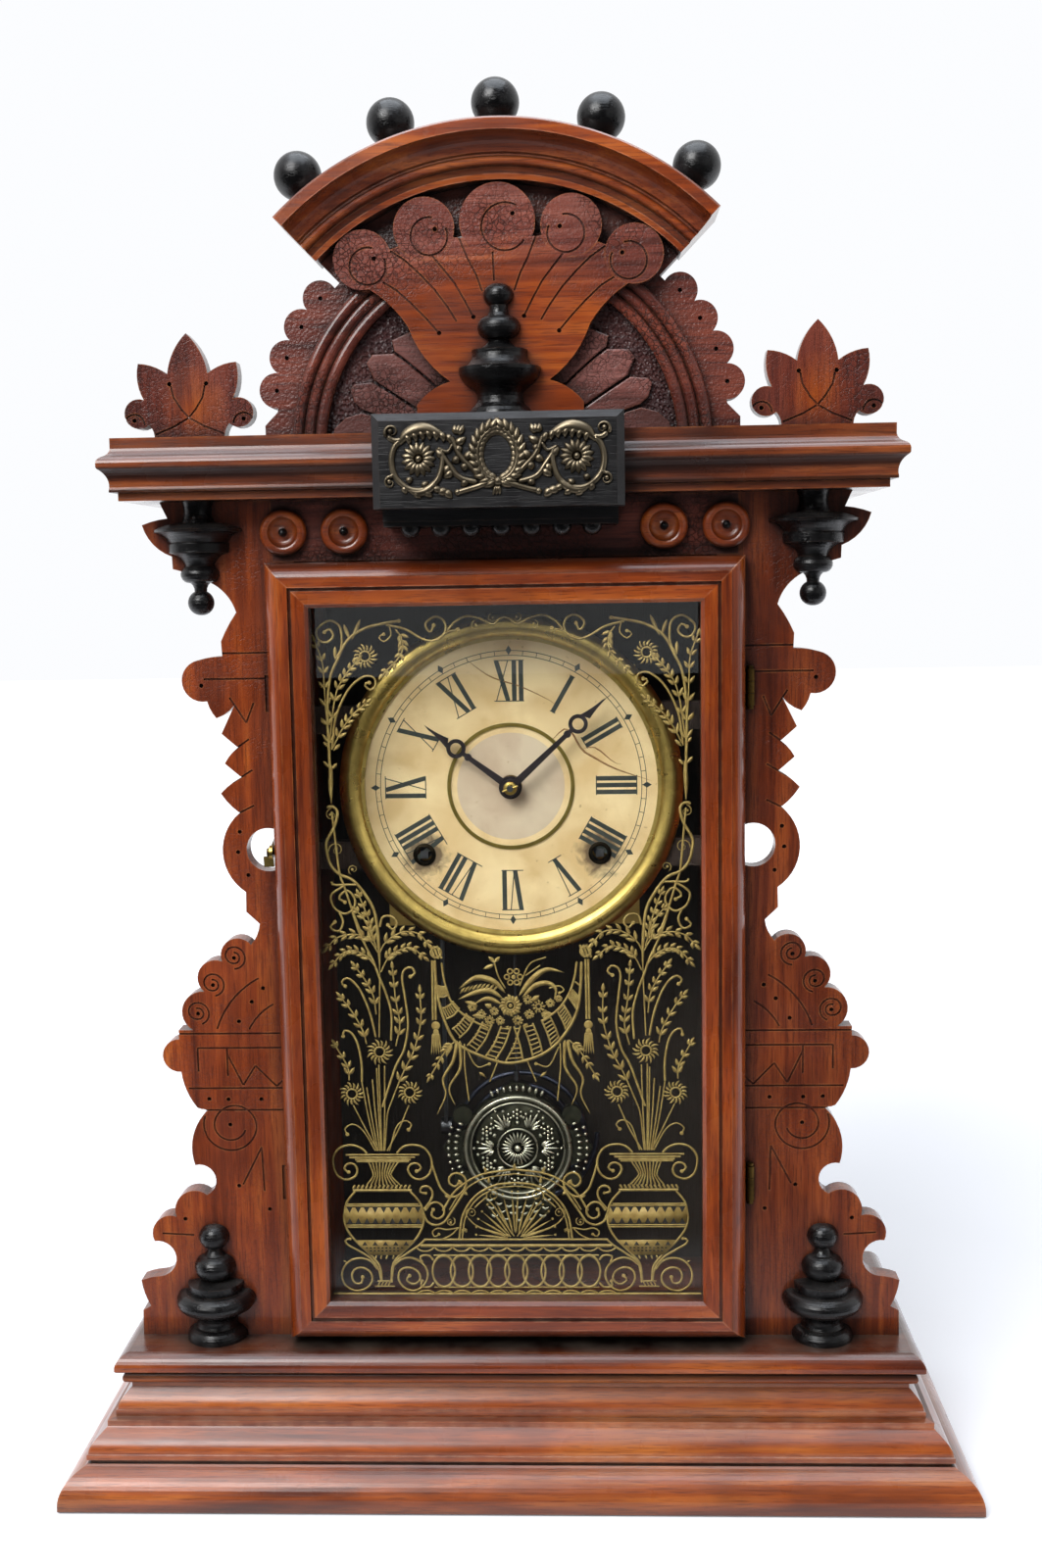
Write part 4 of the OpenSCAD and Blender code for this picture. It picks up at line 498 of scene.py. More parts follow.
@dataclass(frozen=True)
class Metal(Finish):
    """A worked metal with tarnish in its corners, worn edges and fine working marks."""

    bright: Colour
    tarnish: Colour
    rough: float = 0.25
    aged: float = 0.5
    metallic: float = 1.0
    reach: float = 0.006
    dark_spots: tuple[Place, ...] = ()
    spot_size: float = 0.008

    def looks(self, nodes: Nodes, effects: Effects, place: Socket) -> dict[str, Feed]:
        """Clouds the metal, darkens its corners and any spots, and brightens its edges."""
        age = effects.age(nodes, place, self.reach).outputs
        cloud = nodes.noise(place, 120.0, 6.0, 0.5)
        dull = nodes.times(nodes.span(cloud, 0.38, 0.66), self.aged)
        colour = nodes.mix(dull, self.bright, self.tarnish)
        colour = nodes.mix(nodes.times(age["Recess"], 0.85), colour, self.tarnish)
        colour = nodes.mix(nodes.times(age["Edge"], 0.5), colour, self.bright)
        for spot in self.dark_spots:
            near = nodes.calc("LESS_THAN", nodes.far_from(place, spot), self.spot_size)
            colour = nodes.mix(near, colour, srgb(34, 28, 20))
        return {
            "Base Color": colour,
            "Metallic": self.metallic,
            "Roughness": nodes.span(cloud, 0.3, 0.7, self.rough, self.rough + 0.2),
            "Normal": nodes.bump(0.15, 0.0001, nodes.noise(place, 2600.0, 2.0)),
        }


@dataclass(frozen=True)
class DialPaper(Finish):
    """Printed paper on a zinc plate: foxed, stained round the winding holes, paler in the middle."""

    centre: Place
    disc: float = 0.0235

    def looks(self, nodes: Nodes, effects: Effects, place: Socket) -> dict[str, Feed]:
        """Clouds and foxes the paper, and stains it round the holes."""
        cloud = nodes.noise(place, 46.0, 7.0, 0.4)
        colour = nodes.mix(nodes.span(cloud, 0.36, 0.64), srgb(250, 221, 168), srgb(226, 190, 134))
        middle = nodes.calc("LESS_THAN", nodes.far_from(place, self.centre), self.disc)
        pinkish = nodes.mix(nodes.span(cloud, 0.35, 0.65), srgb(224, 202, 172), srgb(204, 176, 148))
        colour = nodes.mix(middle, colour, pinkish)
        spots = nodes.span(nodes.noise(place, 420.0, 5.0), 0.66, 0.74, 0.0, 0.55)
        colour = nodes.mix(spots, colour, srgb(150, 104, 62))
        frayed = nodes.noise(place, 240.0, 6.0, 0.8)
        for hole in WINDING_HOLES:
            away = nodes.plus(nodes.far_from(place, hole), nodes.times(frayed, -0.012))
            colour = nodes.mix(nodes.span(away, 0.0, 0.0052, 0.85, 0.0), colour, srgb(74, 52, 36))
        return {
            "Base Color": colour,
            "Roughness": nodes.span(cloud, 0.3, 0.7, 0.5, 0.72),
            "Normal": nodes.bump(0.25, 0.0003, frayed),
        }


@dataclass(frozen=True)
class Paint(Finish):
    """Gold leaf, printing ink or a brown crack: a thin coloured layer that is a little uneven."""

    full: Colour
    thin: Colour
    rough: float = 0.5
    metallic: float = 0.0

    def looks(self, nodes: Nodes, effects: Effects, place: Socket) -> dict[str, Feed]:
        """Thins the layer in patches."""
        patchy = nodes.span(nodes.noise(place, 340.0, 5.0), 0.35, 0.68)
        return {
            "Base Color": nodes.mix(patchy, self.full, self.thin),
            "Metallic": self.metallic,
            "Roughness": nodes.span(patchy, 0.0, 1.0, self.rough, self.rough + 0.15),
        }


@dataclass(frozen=True)
class ClearGlass(Finish):
    """Old window glass, faintly green and slightly wavy, which lets the light through to the dial."""

    def build(self, effects: Effects) -> Material:
        """Makes the material, clear to the light of the lamps, and gives it back."""
        material = super().build(effects)
        tree = material.node_tree.nodes
        nodes = Nodes(material.node_tree)
        clear = nodes.add("BsdfTransparent", {"Color": (0.93, 0.95, 0.94)}).outputs[0]
        shadow = nodes.add("LightPath").outputs["Is Shadow Ray"]
        mixed = nodes.add("MixShader", {0: shadow, 1: tree["Principled BSDF"].outputs[0], 2: clear})
        nodes.feed(tree["Material Output"].inputs["Surface"], mixed.outputs[0])
        return material

    def looks(self, nodes: Nodes, effects: Effects, place: Socket) -> dict[str, Feed]:
        """Smears and waves the glass a little."""
        return {
            "Base Color": (0.96, 0.98, 0.97),
            "Transmission Weight": 1.0,
            "IOR": 1.45,
            "Roughness": nodes.span(nodes.noise(place, 24.0, 5.0, 0.8), 0.55, 0.8, 0.0, 0.035),
            "Normal": nodes.bump(0.03, 0.002, nodes.noise(place, 9.0, 1.0)),
        }


def curve_through(points: Sequence[Spot], pieces: int = 8) -> list[Vector]:
    """Runs a smooth curve through a few spots.

    Args:
        points: The spots, in millimetres, as across and up.
        pieces: How many short lengths join two spots.

    Returns:
        The spots of the curve.
    """
    knots = [Vector(point) for point in points]
    if len(knots) == 2:
        return [knots[0].lerp(knots[1], step / 4) for step in range(5)]
    knots = [2 * knots[0] - knots[1], *knots, 2 * knots[-1] - knots[-2]]
    path = []
    for first, second, third, fourth in zip(knots, knots[1:], knots[2:], knots[3:]):
        for step in range(pieces):
            t = step / pieces
            bend = 2 * first - 5 * second + 4 * third - fourth
            twist = 3 * second - 3 * third + fourth - first
            path.append((2 * second + (third - first) * t + bend * t * t + twist * t * t * t) / 2)
    return [*path, knots[-2]]


def metres(x: float, y: float, z: float) -> Vector:
    """Turns a place in millimetres into metres."""
    return Vector((x, y, z)) * MM


def heading(angle: float) -> Vector:
    """Gives the direction at an angle from the right, in radians."""
    return Vector((math.cos(angle), math.sin(angle)))


def flipped(side: int, *points: Spot) -> list[Spot]:
    """Gives spots as they are for side 1, and mirrored to the left for side -1."""
    return [(side * x, z) for x, z in points]


def even_steps(path: Sequence[Vector], pitch: float, ease: float) -> tuple[list[Vector], list[float]]:
    """Takes spots along a curve at an even pitch, with closer ones where its ends round off.

    Args:
        path: The spots of the curve.
        pitch: The longest step.
        ease: How far from each end the closer spots reach.

    Returns:
        The new spots, and how far along the curve each one is.
    """
    reach = [0.0]
    for before, after in zip(path, path[1:]):
        reach.append(reach[-1] + (after - before).length)
    total = reach[-1]
    count = max(2, math.ceil(total / pitch))
    places = {round(total * step / count, 4) for step in range(count + 1)}
    if 0 < ease < total / 3:
        places |= {round(edge, 4) for edge in (0.3 * ease, ease, total - ease, total - 0.3 * ease)}
    spots = []
    marks = sorted(places)
    index = 0
    for mark in marks:
        while index < len(path) - 2 and reach[index + 1] < mark:
            index += 1
        room = max(reach[index + 1] - reach[index], 1e-6)
        share = min(max((mark - reach[index]) / room, 0.0), 1.0)
        spots.append(path[index].lerp(path[index + 1], share))
    return spots, marks


class Brush:
    """Lays strokes on a plane that faces the front, each as a closed shape of its own."""

    def __init__(self, y: float, rise: float, sides: int = 4, pitch: float = 1.4) -> None:
        """Starts an empty drawing.

        Args:
            y: The plane it lies on, in millimetres.
            rise: How far a full stroke stands off that plane to each side.
            sides: How many faces go round a stroke.
            pitch: The longest step along a stroke.
        """
        self.mesh = bmesh.new()
        self.y = y
        self.rise = rise
        self.sides = sides
        self.pitch = pitch

    def stroke(self, points: Sequence[Spot], half: float, tip: Tip = Tip.ROUND,
               rise: Optional[float] = None) -> None:
        """Draws one stroke.

        Args:
            points: The spots that it runs through.
            half: Half its width where it is widest.
            tip: How it runs out at its ends.
            rise: How far it stands off the plane, if not as the rest.
        """
        high = self.rise if rise is None else rise
        ease = half if tip is Tip.ROUND else 0.0
        spots, marks = even_steps(curve_through(points), self.pitch, ease)
        last = len(spots) - 1
        grid = bmesh.ops.create_grid(self.mesh, x_segments=last, y_segments=self.sides, size=1.0)
        for vert in grid["verts"]:
            step = round((vert.co.x + 1) / 2 * last)
            turn = math.pi * vert.co.y
            ahead = spots[min(step + 1, last)] - spots[max(step - 1, 0)]
            normal = Vector((-ahead.y, ahead.x)).normalized()
            share = self._share(tip, marks[step], marks[-1], half)
            spot = spots[step] + normal * (math.cos(turn) * half * share)
            out = math.sin(turn) * high * math.sqrt(share)
            vert.co = metres(spot.x, self.y - out, spot.y)

    def _share(self, tip: Tip, mark: float, total: float, half: float) -> float:
        """Gives how much of its full width a stroke has at a mark along it."""
        if tip is Tip.LEAF:
            along = mark / total
            return math.sin(math.pi * along**0.8) ** 0.9 if 0 < along < 1 else 0.0
        if tip is Tip.TAIL:
            return 0.25 + 0.75 * (1 - mark / total) if 0 < mark < total else 0.0
        if tip is Tip.SQUARE:
            return 1.0 if 0 < mark < total else 0.98
        near = min(mark, total - mark)
        return math.sqrt(max(0.0, 1 - (1 - near / half) ** 2)) if near < half else 1.0

    def bead(self, centre: Spot, radius: float, rise: Optional[float] = None) -> None:
        """Draws a round dot or boss."""
        high = self.rise if rise is None else rise
        ball = bmesh.ops.create_uvsphere(self.mesh, u_segments=10, v_segments=5, radius=1.0)
        for vert in ball["verts"]:
            x, y, z = vert.co.x * radius, vert.co.z * high, vert.co.y * radius
            vert.co = metres(centre[0] + x, self.y - y, centre[1] + z)

    def ring(self, centre: Spot, radius: float, half: float, steps: int = 72, squash: float = 1.0) -> None:
        """Draws a closed circle, or an ellipse that is so many times as high as it is wide."""
        drawn = len(self.mesh.verts)
        corners = [(radius - half, 0.0), (radius, -self.rise), (radius + half, 0.0), (radius, self.rise)]
        verts = [self.mesh.verts.new(metres(centre[0] + x, self.y + y, centre[1])) for x, y in corners]
        edges = [self.mesh.edges.new((verts[i], verts[(i + 1) % 4])) for i in range(4)]
        middle = metres(centre[0], self.y, centre[1])
        bmesh.ops.spin(
            self.mesh,
            geom=[*verts, *edges],
            cent=middle,
            axis=(0, 1, 0),
            angle=2 * math.pi,
            steps=steps,
            use_merge=True,
        )
        self.mesh.verts.ensure_lookup_table()
        for vert in self.mesh.verts[drawn:]:
            vert.co.z = middle.z + (vert.co.z - middle.z) * squash

    def scroll(self, centre: Spot, radius: float, start: float, turns: float, half: float,
               eye: float = 0.0) -> None:
        """Draws a spiral that winds in from its rim to its eye.

        Args:
            centre: The middle of the spiral.
            radius: Its size at the rim.
            start: The angle of its outer end, in degrees from the right.
            turns: How many turns it makes, negative for clockwise.
            half: Half the width of the line.
            eye: The size of the dot at its inner end.
        """
        steps = max(8, round(abs(turns) * 12))
        points = []
        for step in range(steps + 1):
            share = step / steps
            angle = math.radians(start) + 2 * math.pi * turns * share
            reach = radius * (1 - 0.78 * share)
            points.append((centre[0] + reach * math.cos(angle), centre[1] + reach * math.sin(angle)))
        self.stroke(points, half, Tip.TAIL)
        if eye:
            self.bead(points[-1], eye)

    def curl(self, points: Sequence[Spot], half: float = 0.5, eye: float = 0.9) -> None:
        """Draws a line that ends in a round eye."""
        self.stroke(points, half)
        self.bead(points[-1], eye)

    def leaves(self, pairs: Sequence[Sequence[Spot]], half: float, rise: Optional[float] = None) -> None:
        """Draws single leaves, each through its own spots."""
        for pair in pairs:
            self.stroke(pair, half, Tip.LEAF, rise)

    def sprig(self, points: Sequence[Spot], leaves: int, length: float = 5.0, fat: float = 0.85,
              stem: float = 0.34) -> None:
        """Draws a stem with pairs of leaves that lean along it, and one at its tip.

        Args:
            points: The spots that the stem runs through.
            leaves: How many pairs of leaves it has.
            length: The length of its lowest leaves.
            fat: Half the width of a leaf.
            stem: Half the width of the stem.
        """
        path = curve_through(points)
        self.stroke(points, stem)
        for index in range(leaves):
            along = 0.2 + 0.74 * index / max(leaves - 1, 1)
            place = min(int(along * (len(path) - 1)), len(path) - 2)
            ahead = (path[place + 1] - path[place]).normalized()
            size = length * (1 - 0.35 * along)
            for side in SIDES:
                lean = Matrix.Rotation(side * 0.55, 2) @ ahead
                foot = path[place] + lean * 0.4
                self.stroke([foot, foot + lean * size], fat, Tip.LEAF)
        tip = (path[-1] - path[-2]).normalized()
        self.stroke([path[-1] - tip * 0.5, path[-1] + tip * length * 0.75], fat, Tip.LEAF)

    def sunflower(self, centre: Spot, inner: float, outer: float, petals: int, fat: float = 0.62) -> None:
        """Draws a ring of petals round an open middle."""
        middle = Vector(centre)
        for index in range(petals):
            angle = 2 * math.pi * index / petals
            out = heading(angle)
            reach = outer if index % 2 == 0 else outer * 0.86
            end = middle + heading(angle + 0.22) * reach
            self.stroke([middle + out * inner, middle + out * (inner + outer) / 2, end], fat, Tip.LEAF)
        self.ring(centre, inner, 0.42, 20)

    def polygon(self, corners: Sequence[Spot]) -> None:
        """Draws a filled flat shape with straight sides."""
        behind = self.y + self.rise
        face = self.mesh.faces.new([self.mesh.verts.new(metres(x, behind, z)) for x, z in corners])
        wall = bmesh.ops.extrude_face_region(self.mesh, geom=[face])
        verts = [item for item in wall["geom"] if isinstance(item, bmesh.types.BMVert)]
        bmesh.ops.translate(self.mesh, verts=verts, vec=(0.0, -2 * self.rise * MM, 0.0))

    def mirrored(self) -> None:
        """Adds the mirror image of all that is drawn so far."""
        geometry = [*self.mesh.verts, *self.mesh.edges, *self.mesh.faces]
        bmesh.ops.mirror(self.mesh, geom=geometry, matrix=Matrix.Identity(4), merge_dist=1e-9, axis="X")


def add_object(name: str, data: bpy.types.ID) -> Piece:
    """Links a new object with its data into the scene and gives it back."""
    item = bpy.data.objects.new(name, data)
    bpy.context.scene.collection.objects.link(item)
    return item


def make_piece(mesh: Mesh, name: str, body: str, material: Material,
               smooth: bool = True) -> Piece:
    """Closes a mesh, gives it a finish and lets it ride on a body.

    Args:
        mesh: What the piece is made of; it is used up.
        name: The piece's name.
        body: The moving body that it rides on.
        material: Its finish.
        smooth: Whether its faces are shaded as one.

    Returns:
        The piece.
    """
    bmesh.ops.remove_doubles(mesh, verts=mesh.verts[:], dist=MERGE)
    bmesh.ops.recalc_face_normals(mesh, faces=mesh.faces[:])
    mesh.verts.sort(key=lambda vert: vert.co.dot(SLANT))
    mesh.faces.sort(key=lambda face: math.fsum(vert.co.dot(SLANT) for vert in face.verts))
    for face in mesh.faces:
        face.smooth = smooth
    data = bpy.data.meshes.new(name)
    mesh.to_mesh(data)
    mesh.free()
    piece = add_object(name, data)
    data.materials.append(material)
    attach(piece, body)
    log.info("%s: %d faces, rides on %s", name, len(data.polygons), body)
    return piece


def dress(material: Material, *names: str) -> None:
    """Gives CAD nodes a finish in place of their plain one."""
    for name in names:
        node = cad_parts[name]
        if not node.material_slots:
            node.data.materials.append(material)
        for holder in node.material_slots:
            holder.material = material
        log.info("%s: %s", name, material.name)


@dataclass(frozen=True)
class Lamp:
    """A soft square lamp that looks at the clock's middle."""

    name: str
    where: Place
    size: float
    power: float
    colour: Colour = (1.0, 1.0, 1.0)
    looks_at: Place = (0.0, 0.0, 0.28)

    def build(self) -> None:
        """Adds the lamp."""
        data = bpy.data.lights.new(self.name, "AREA")
        data.color = self.colour
        data.size = self.size
        data.energy = self.power
        lamp = add_object(self.name, data)
        lamp.location = self.where
        aim = Vector(self.looks_at) - Vector(self.where)
        lamp.rotation_euler = aim.to_track_quat("-Z", "Y").to_euler()


@dataclass(frozen=True)
class StudioWhite(Finish):
    """The floor's white, lit of its own to the camera, and dark in reflections of what lies far back."""

    wall: Colour

    def looks(self, nodes: Nodes, effects: Effects, place: Socket) -> dict[str, Feed]:
        """Fades the floor into the wall with the distance."""
        ray = nodes.add("LightPath").outputs
        gloss = nodes.times(ray["Is Glossy Ray"], nodes.span(nodes.part(place, "Y"), -0.3, -0.05))
        dark = nodes.minus(ray["Is Glossy Ray"], gloss)
        seen = nodes.calc("MAXIMUM", ray["Is Camera Ray"], gloss)
        far = nodes.span(nodes.far_from(place, (0.0, 0.0, 0.0)), 0.35, 1.6, 0.25, 1.0)
        return {
            "Base Color": nodes.mix(dark, (0.9, 0.9, 0.93), (0.03, 0.03, 0.03)),
            "Roughness": 0.9,
            "Specular IOR Level": 0.0,
            "Emission Color": self.wall,
            "Emission Strength": nodes.times(seen, far),
        }


@dataclass(frozen=True)
class Studio:
    """The white studio: camera, lamps, floor and sky."""

    lens: float = 38.242
    film: float = 36.0
    nearest: float = 0.01
    eye: Place = (0.03305, -0.72155, 0.39163)
    turn: Place = (82.882, 0.9608, 2.1515)
    floor_size: float = 12.0
    wall: Colour = (0.97, 0.98, 1.0)
    lamps: tuple[Lamp, ...] = (
        Lamp("key_lamp", (-0.75, -1.3, 1.5), 1.0, 32.0),
        Lamp("fill_lamp", (1.25, -1.4, 0.8), 1.2, 1.8),
        Lamp("top_lamp", (0.0, -0.15, 1.75), 1.3, 19.0, (0.84, 0.91, 1.0)),
    )

    def build(self, effects: Effects) -> None:
        """Sets up everything round the clock."""
        self._camera()
        for lamp in self.lamps:
            lamp.build()
        self._floor(effects)
        self._sky()
        bpy.context.scene.view_settings.view_transform = "Standard"

    def _camera(self) -> None:
        """Stands the camera where the photographer stood."""
        data = bpy.data.cameras.new("camera")
        data.lens = self.lens
        data.sensor_width = self.film
        data.clip_start = self.nearest
        camera = add_object("camera", data)
        camera.location = self.eye
        camera.rotation_euler = Euler([math.radians(angle) for angle in self.turn])
        bpy.context.scene.camera = camera

    def _floor(self, effects: Effects) -> None:
        """Lays the pale floor, which keeps the clock's shadow."""
        mesh = bmesh.new()
        bmesh.ops.create_grid(mesh, x_segments=1, y_segments=1, size=self.floor_size / 2)
        data = bpy.data.meshes.new("studio_floor")
        mesh.to_mesh(data)
        mesh.free()
        floor = add_object("studio_floor", data)
        data.materials.append(StudioWhite("studio_white", self.wall).build(effects))

    def _sky(self) -> None:
        """Lights the clock evenly, white to camera and glass, darker behind the camera in reflections."""
        world = bpy.data.worlds.new("studio_sky")
        world.use_nodes = True
        bpy.context.scene.world = world
        nodes = Nodes(world.node_tree)
        ray = nodes.add("LightPath").outputs
        straight = nodes.calc("LESS_THAN", ray["Diffuse Depth"], 0.5)
        through = nodes.times(ray["Is Transmission Ray"], straight)
        direct = nodes.calc("MAXIMUM", ray["Is Camera Ray"], through)
        aim = nodes.add("TexCoord").outputs["Generated"]
        behind = nodes.span(nodes.part(aim, "Y"), -0.6, 0.15, 0.03, 1.0)
        mirrored = nodes.times(ray["Is Glossy Ray"], behind)
        shown = nodes.calc("MAXIMUM", direct, mirrored)
        diffuse = nodes.minus(1.0, nodes.calc("MAXIMUM", direct, ray["Is Glossy Ray"]))
        spread = nodes.span(nodes.part(aim, "X"), -0.3, 0.8, 0.29, 0.15)
        strength = nodes.plus(shown, nodes.times(diffuse, spread))
        nodes.feed_all(world.node_tree.nodes["Background"], {"Color": self.wall, "Strength": strength})


@dataclass(frozen=True)
class Woodwork:
    """The case, base, boards, cornice and crest."""

    red: Shades = (srgb(180, 92, 30), srgb(138, 57, 14), srgb(78, 27, 8))
    # A darker copy of the red walnut, painted shade on the clock's right side.
    shaded_red: Shades = (srgb(148, 70, 24), srgb(108, 42, 11), srgb(60, 20, 7))
    # A lighter orange copy of the walnut for the base: partly its own tone, partly painted light that it
    # catches.
    lit_orange: Shades = (srgb(214, 122, 46), srgb(172, 82, 26), srgb(96, 38, 12))
    sienna: Shades = (srgb(160, 84, 36), srgb(116, 52, 20), srgb(62, 25, 11))
    brown: Shades = (srgb(128, 62, 44), srgb(100, 44, 32), srgb(50, 21, 18))
    # Greyer, lighter copies of the brown: a painted sheen of the bluish top light, weaker on the fan lobes,
    # stronger on the leaves.
    lobes_with_sheen: Shades = (srgb(144, 82, 68), srgb(116, 58, 47), srgb(58, 28, 23))
    lilac_sheen: Shades = (srgb(146, 94, 86), srgb(118, 70, 63), srgb(60, 34, 30))
    black: Shades = (srgb(14, 12, 13), srgb(9, 8, 9), srgb(5, 5, 6))
    bare: Shades = (srgb(150, 112, 76), srgb(124, 88, 58), srgb(84, 58, 38))
    # Dark pine: painted shade of the inside of the case.
    stained: Shades = (srgb(58, 38, 26), srgb(44, 28, 20), srgb(28, 18, 14))
    base_half: float = 174.0
    base_front: float = 46.0
    base_wall: float = 24.0
    sharp: float = math.radians(24)
    crest_board: float = -26.0
    leaf_rise: float = 2.2
    leaf_round: float = 1.1
    frieze_face: float = -27.0
    rosettes: tuple[float, float] = (66.2, 91.7)

    def build(self, effects: Effects) -> None:
        """Dresses every wooden node, and adds the ogees, the carved leaves and the rosettes' pins."""
        self._mouldings(effects)
        self._boards(effects)
        self._crest(effects)
        dress(Ebonised("ebonised_plaque").build(effects), "plaque_block", "plaque_soffit")
        ebony = Ebonised("ebonised_turnings", 0.24, self.black).build(effects)
        dress(ebony, "plaque_beads", "crest_balls", "centre_finial", "hanging_drops", "foot_finials")
        # The back board's inner face is painted dark as the shade inside the case.
        back = BareWood("back_board", self.bare, srgb(36, 27, 19), 0.0615)
        dress(back.build(effects), "case_back_board")
        # The inner pine and the glass beads are painted dark as the shade inside the case.
        dress(BareWood("inner_pine_painted_shade", self.stained).build(effects), "pine_inner_pieces", "glass_beads")
        self._pins(ebony)

    def _mouldings(self, effects: Effects) -> None:
        """Dresses the mitred mouldings, with painted shade in corners, on flat faces and in bands where
        others stand out over them.
        """
        board = Varnish(
            "walnut_mitred",
            self.red,
            Grain.MITRED,
            gloss=0.26,
            # Strong painted shade in the corners, and painted shade on flat faces that look up or down.
            recess_shade=1.0,
            ledge_shade=0.6,
            reach=0.014,
            shine=1.0,
            coat_rough=0.26,
        )
        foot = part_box("cornice_moulding")[0][2]
        cornice = replace(
            board,
            name="walnut_cornice",
            shades=self.sienna,
            # Painted shade on flat faces, and bands of painted shade under the nose and over the lowest
            # fillet.
            ledge_shade=0.5,
            shaded=((foot + 0.0106, 0.0034, 0.8), (foot + 0.0038, 0.0011, 0.85)),
        )
        # The base: the lighter copy partly as painted light, a pale edge colour as painted highlight, and
        # painted shade under the top board.
        base = replace(
            board,
            name="walnut_base",
            shades=self.lit_orange,
            gloss=0.28,
            ledge_shade=0.2,
            reach=0.018,
            coat_rough=0.28,
            edge_wear_and_highlight=srgb(204, 142, 104),
            shaded=((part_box("base_upper_cyma")[1][2] - 0.0022, 0.0034, 0.62),),
        ).build(effects)
        dress(board.build(effects), "base_top_board")
        dress(cornice.build(effects), "cornice_moulding")
        dress(base, "base_torus_moulding")
        self._ogees(base)

    def _boards(self, effects: Effects) -> None:
        """Dresses the sides and their scalloped boards, the right board darker as painted shade, and the
        door's frame and what is polished like it.
        """
        board = Varnish("walnut_boards", self.red, Grain.UPRIGHT, gloss=0.36, crackle=0.25)
        dress(board.build(effects), "left_scroll_board", "case_sides")
        # The right scroll board wears the darker copy as painted shade.
        right = replace(board, name="walnut_right_board", shades=self.shaded_red)
        dress(right.build(effects), "right_scroll_board")
        # Painted shade on flat faces, and a pale edge colour as a painted highlight on the rails, rosettes
        # and crest moulding.
        shiny = {"ledge_shade": 0.6, "shine": 1.0, "coat_rough": 0.24, "edge_wear_and_highlight": srgb(214, 148, 112)}
        rail = Varnish("walnut_rails", self.red, gloss=0.26, **shiny)
        dress(rail.build(effects), "door_rails", "frieze_rosettes", "crest_moulding")
        dress(Varnish("walnut_stiles", self.red, Grain.UPRIGHT, gloss=0.26).build(effects), "door_stiles")

    def _crest(self, effects: Effects) -> None:
        """Dresses the crackled woods of frieze and crest, worn bare in the middle of fan and palmettes, with
        a painted sheen on fan and leaves.
        """
        crackled = Varnish("crackled_walnut", self.brown, gloss=0.34, crackle=1.0)
        dress(crackled.build(effects), "frieze_board", "arch_moulding")
        dress(StippledWood("stippled_ground", self.brown).build(effects), "tympanum_board")
        # The carved leaves wear the lilac copy: brown with a painted sheen.
        self._carved_leaves(replace(crackled, name="leaf_walnut", shades=self.lilac_sheen).build(effects))
        # The fan lobes wear the copy with a weaker painted sheen.
        fan = Varnish(
            "fan_walnut",
            self.lobes_with_sheen,
            gloss=0.32,
            crackle=1.0,
            worn_at=((0.0, -0.034, 0.45, 0.07),),
            worn_wood=self.red,
        )
        dress(fan.build(effects), "fan_panel")
        low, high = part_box("palmettes")
        middle = high[0] - (high[0] - low[0]) * 0.09
        palmette = replace(
            crackled,
            name="palmette_walnut",
            grain=Grain.UPRIGHT,
            crackle=0.6,
            worn_at=tuple((side * middle, -0.03, 0.462, 0.008) for side in SIDES),
            worn_wood=self.red,
        )
        dress(palmette.build(effects), "palmettes")

    def _ogees(self, material: Material) -> None:
        """Planes the base's two ogees to their full slope, in place of the model's steeper ones."""
        slope = curve_through(((9.9, 4.0), (9.5, 6.0), (8.2, 8.3), (5.6, 10.8), (3.4, 12.7)))
        lower = [(9.1, 0), (9.1, 1.2), (10.5, 1.6), (10.5, 3.7), *map(tuple, slope), (3, 13.2), (3, 14)]
        slope = curve_through(((-0.7, 5.0), (-1.0, 6.8), (-2.2, 9.0), (-4.4, 11.4), (-6.0, 13.0)))
        upper = [(3, 0), (3, 1.6), (0, 2.2), (0, 4.7), *map(tuple, slope), (-6.0, 15.0)]
        for step in range(13):
            turn = math.radians(-90 + 15 * step)
            upper.append((-5.4 + 2.7 * math.cos(turn), 17.9 + 2.7 * math.sin(turn)))
        upper += [(-5.4, 21.1), (-5.4, 21.5)]
        self._ogee("lower_ogee", "base_lower_cyma", lower, material)
        self._ogee("upper_ogee", "base_upper_cyma", upper, material)

    def _ogee(self, name: str, node: str, outline: Sequence[Spot], material: Material) -> None:
        """Runs a moulding round three sides of the base.

        Args:
            name: The piece's name.
            node: The CAD node that it stands for.
            outline: Its face from foot to top, as out from the base and up.
            material: Its finish.
        """
        low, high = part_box(node)
        foot, back = low[2] / MM, high[1] / MM
        mesh = bmesh.new()
        rows = []
        for reach, up in [*outline, (-self.base_wall, outline[-1][1]), (-self.base_wall, 0.0)]:
            wide, deep = self.base_half + reach, self.base_front + reach
            corners = ((-wide, back), (-wide, -deep), (wide, -deep), (wide, back))
            rows.append([mesh.verts.new(metres(x, y, foot + up)) for x, y in corners])
        for row, after in zip(rows, rows[1:] + rows[:1]):
            for side in range(3):
                mesh.faces.new((row[side], row[side + 1], after[side + 1], after[side]))
        for end in (0, 3):
            mesh.faces.new([row[end] for row in rows])
        mesh.normal_update()
        for edge in mesh.edges:
            edge.smooth = edge.calc_face_angle(0.0) < self.sharp
        piece = make_piece(mesh, name, "case", material)
        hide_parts(node)

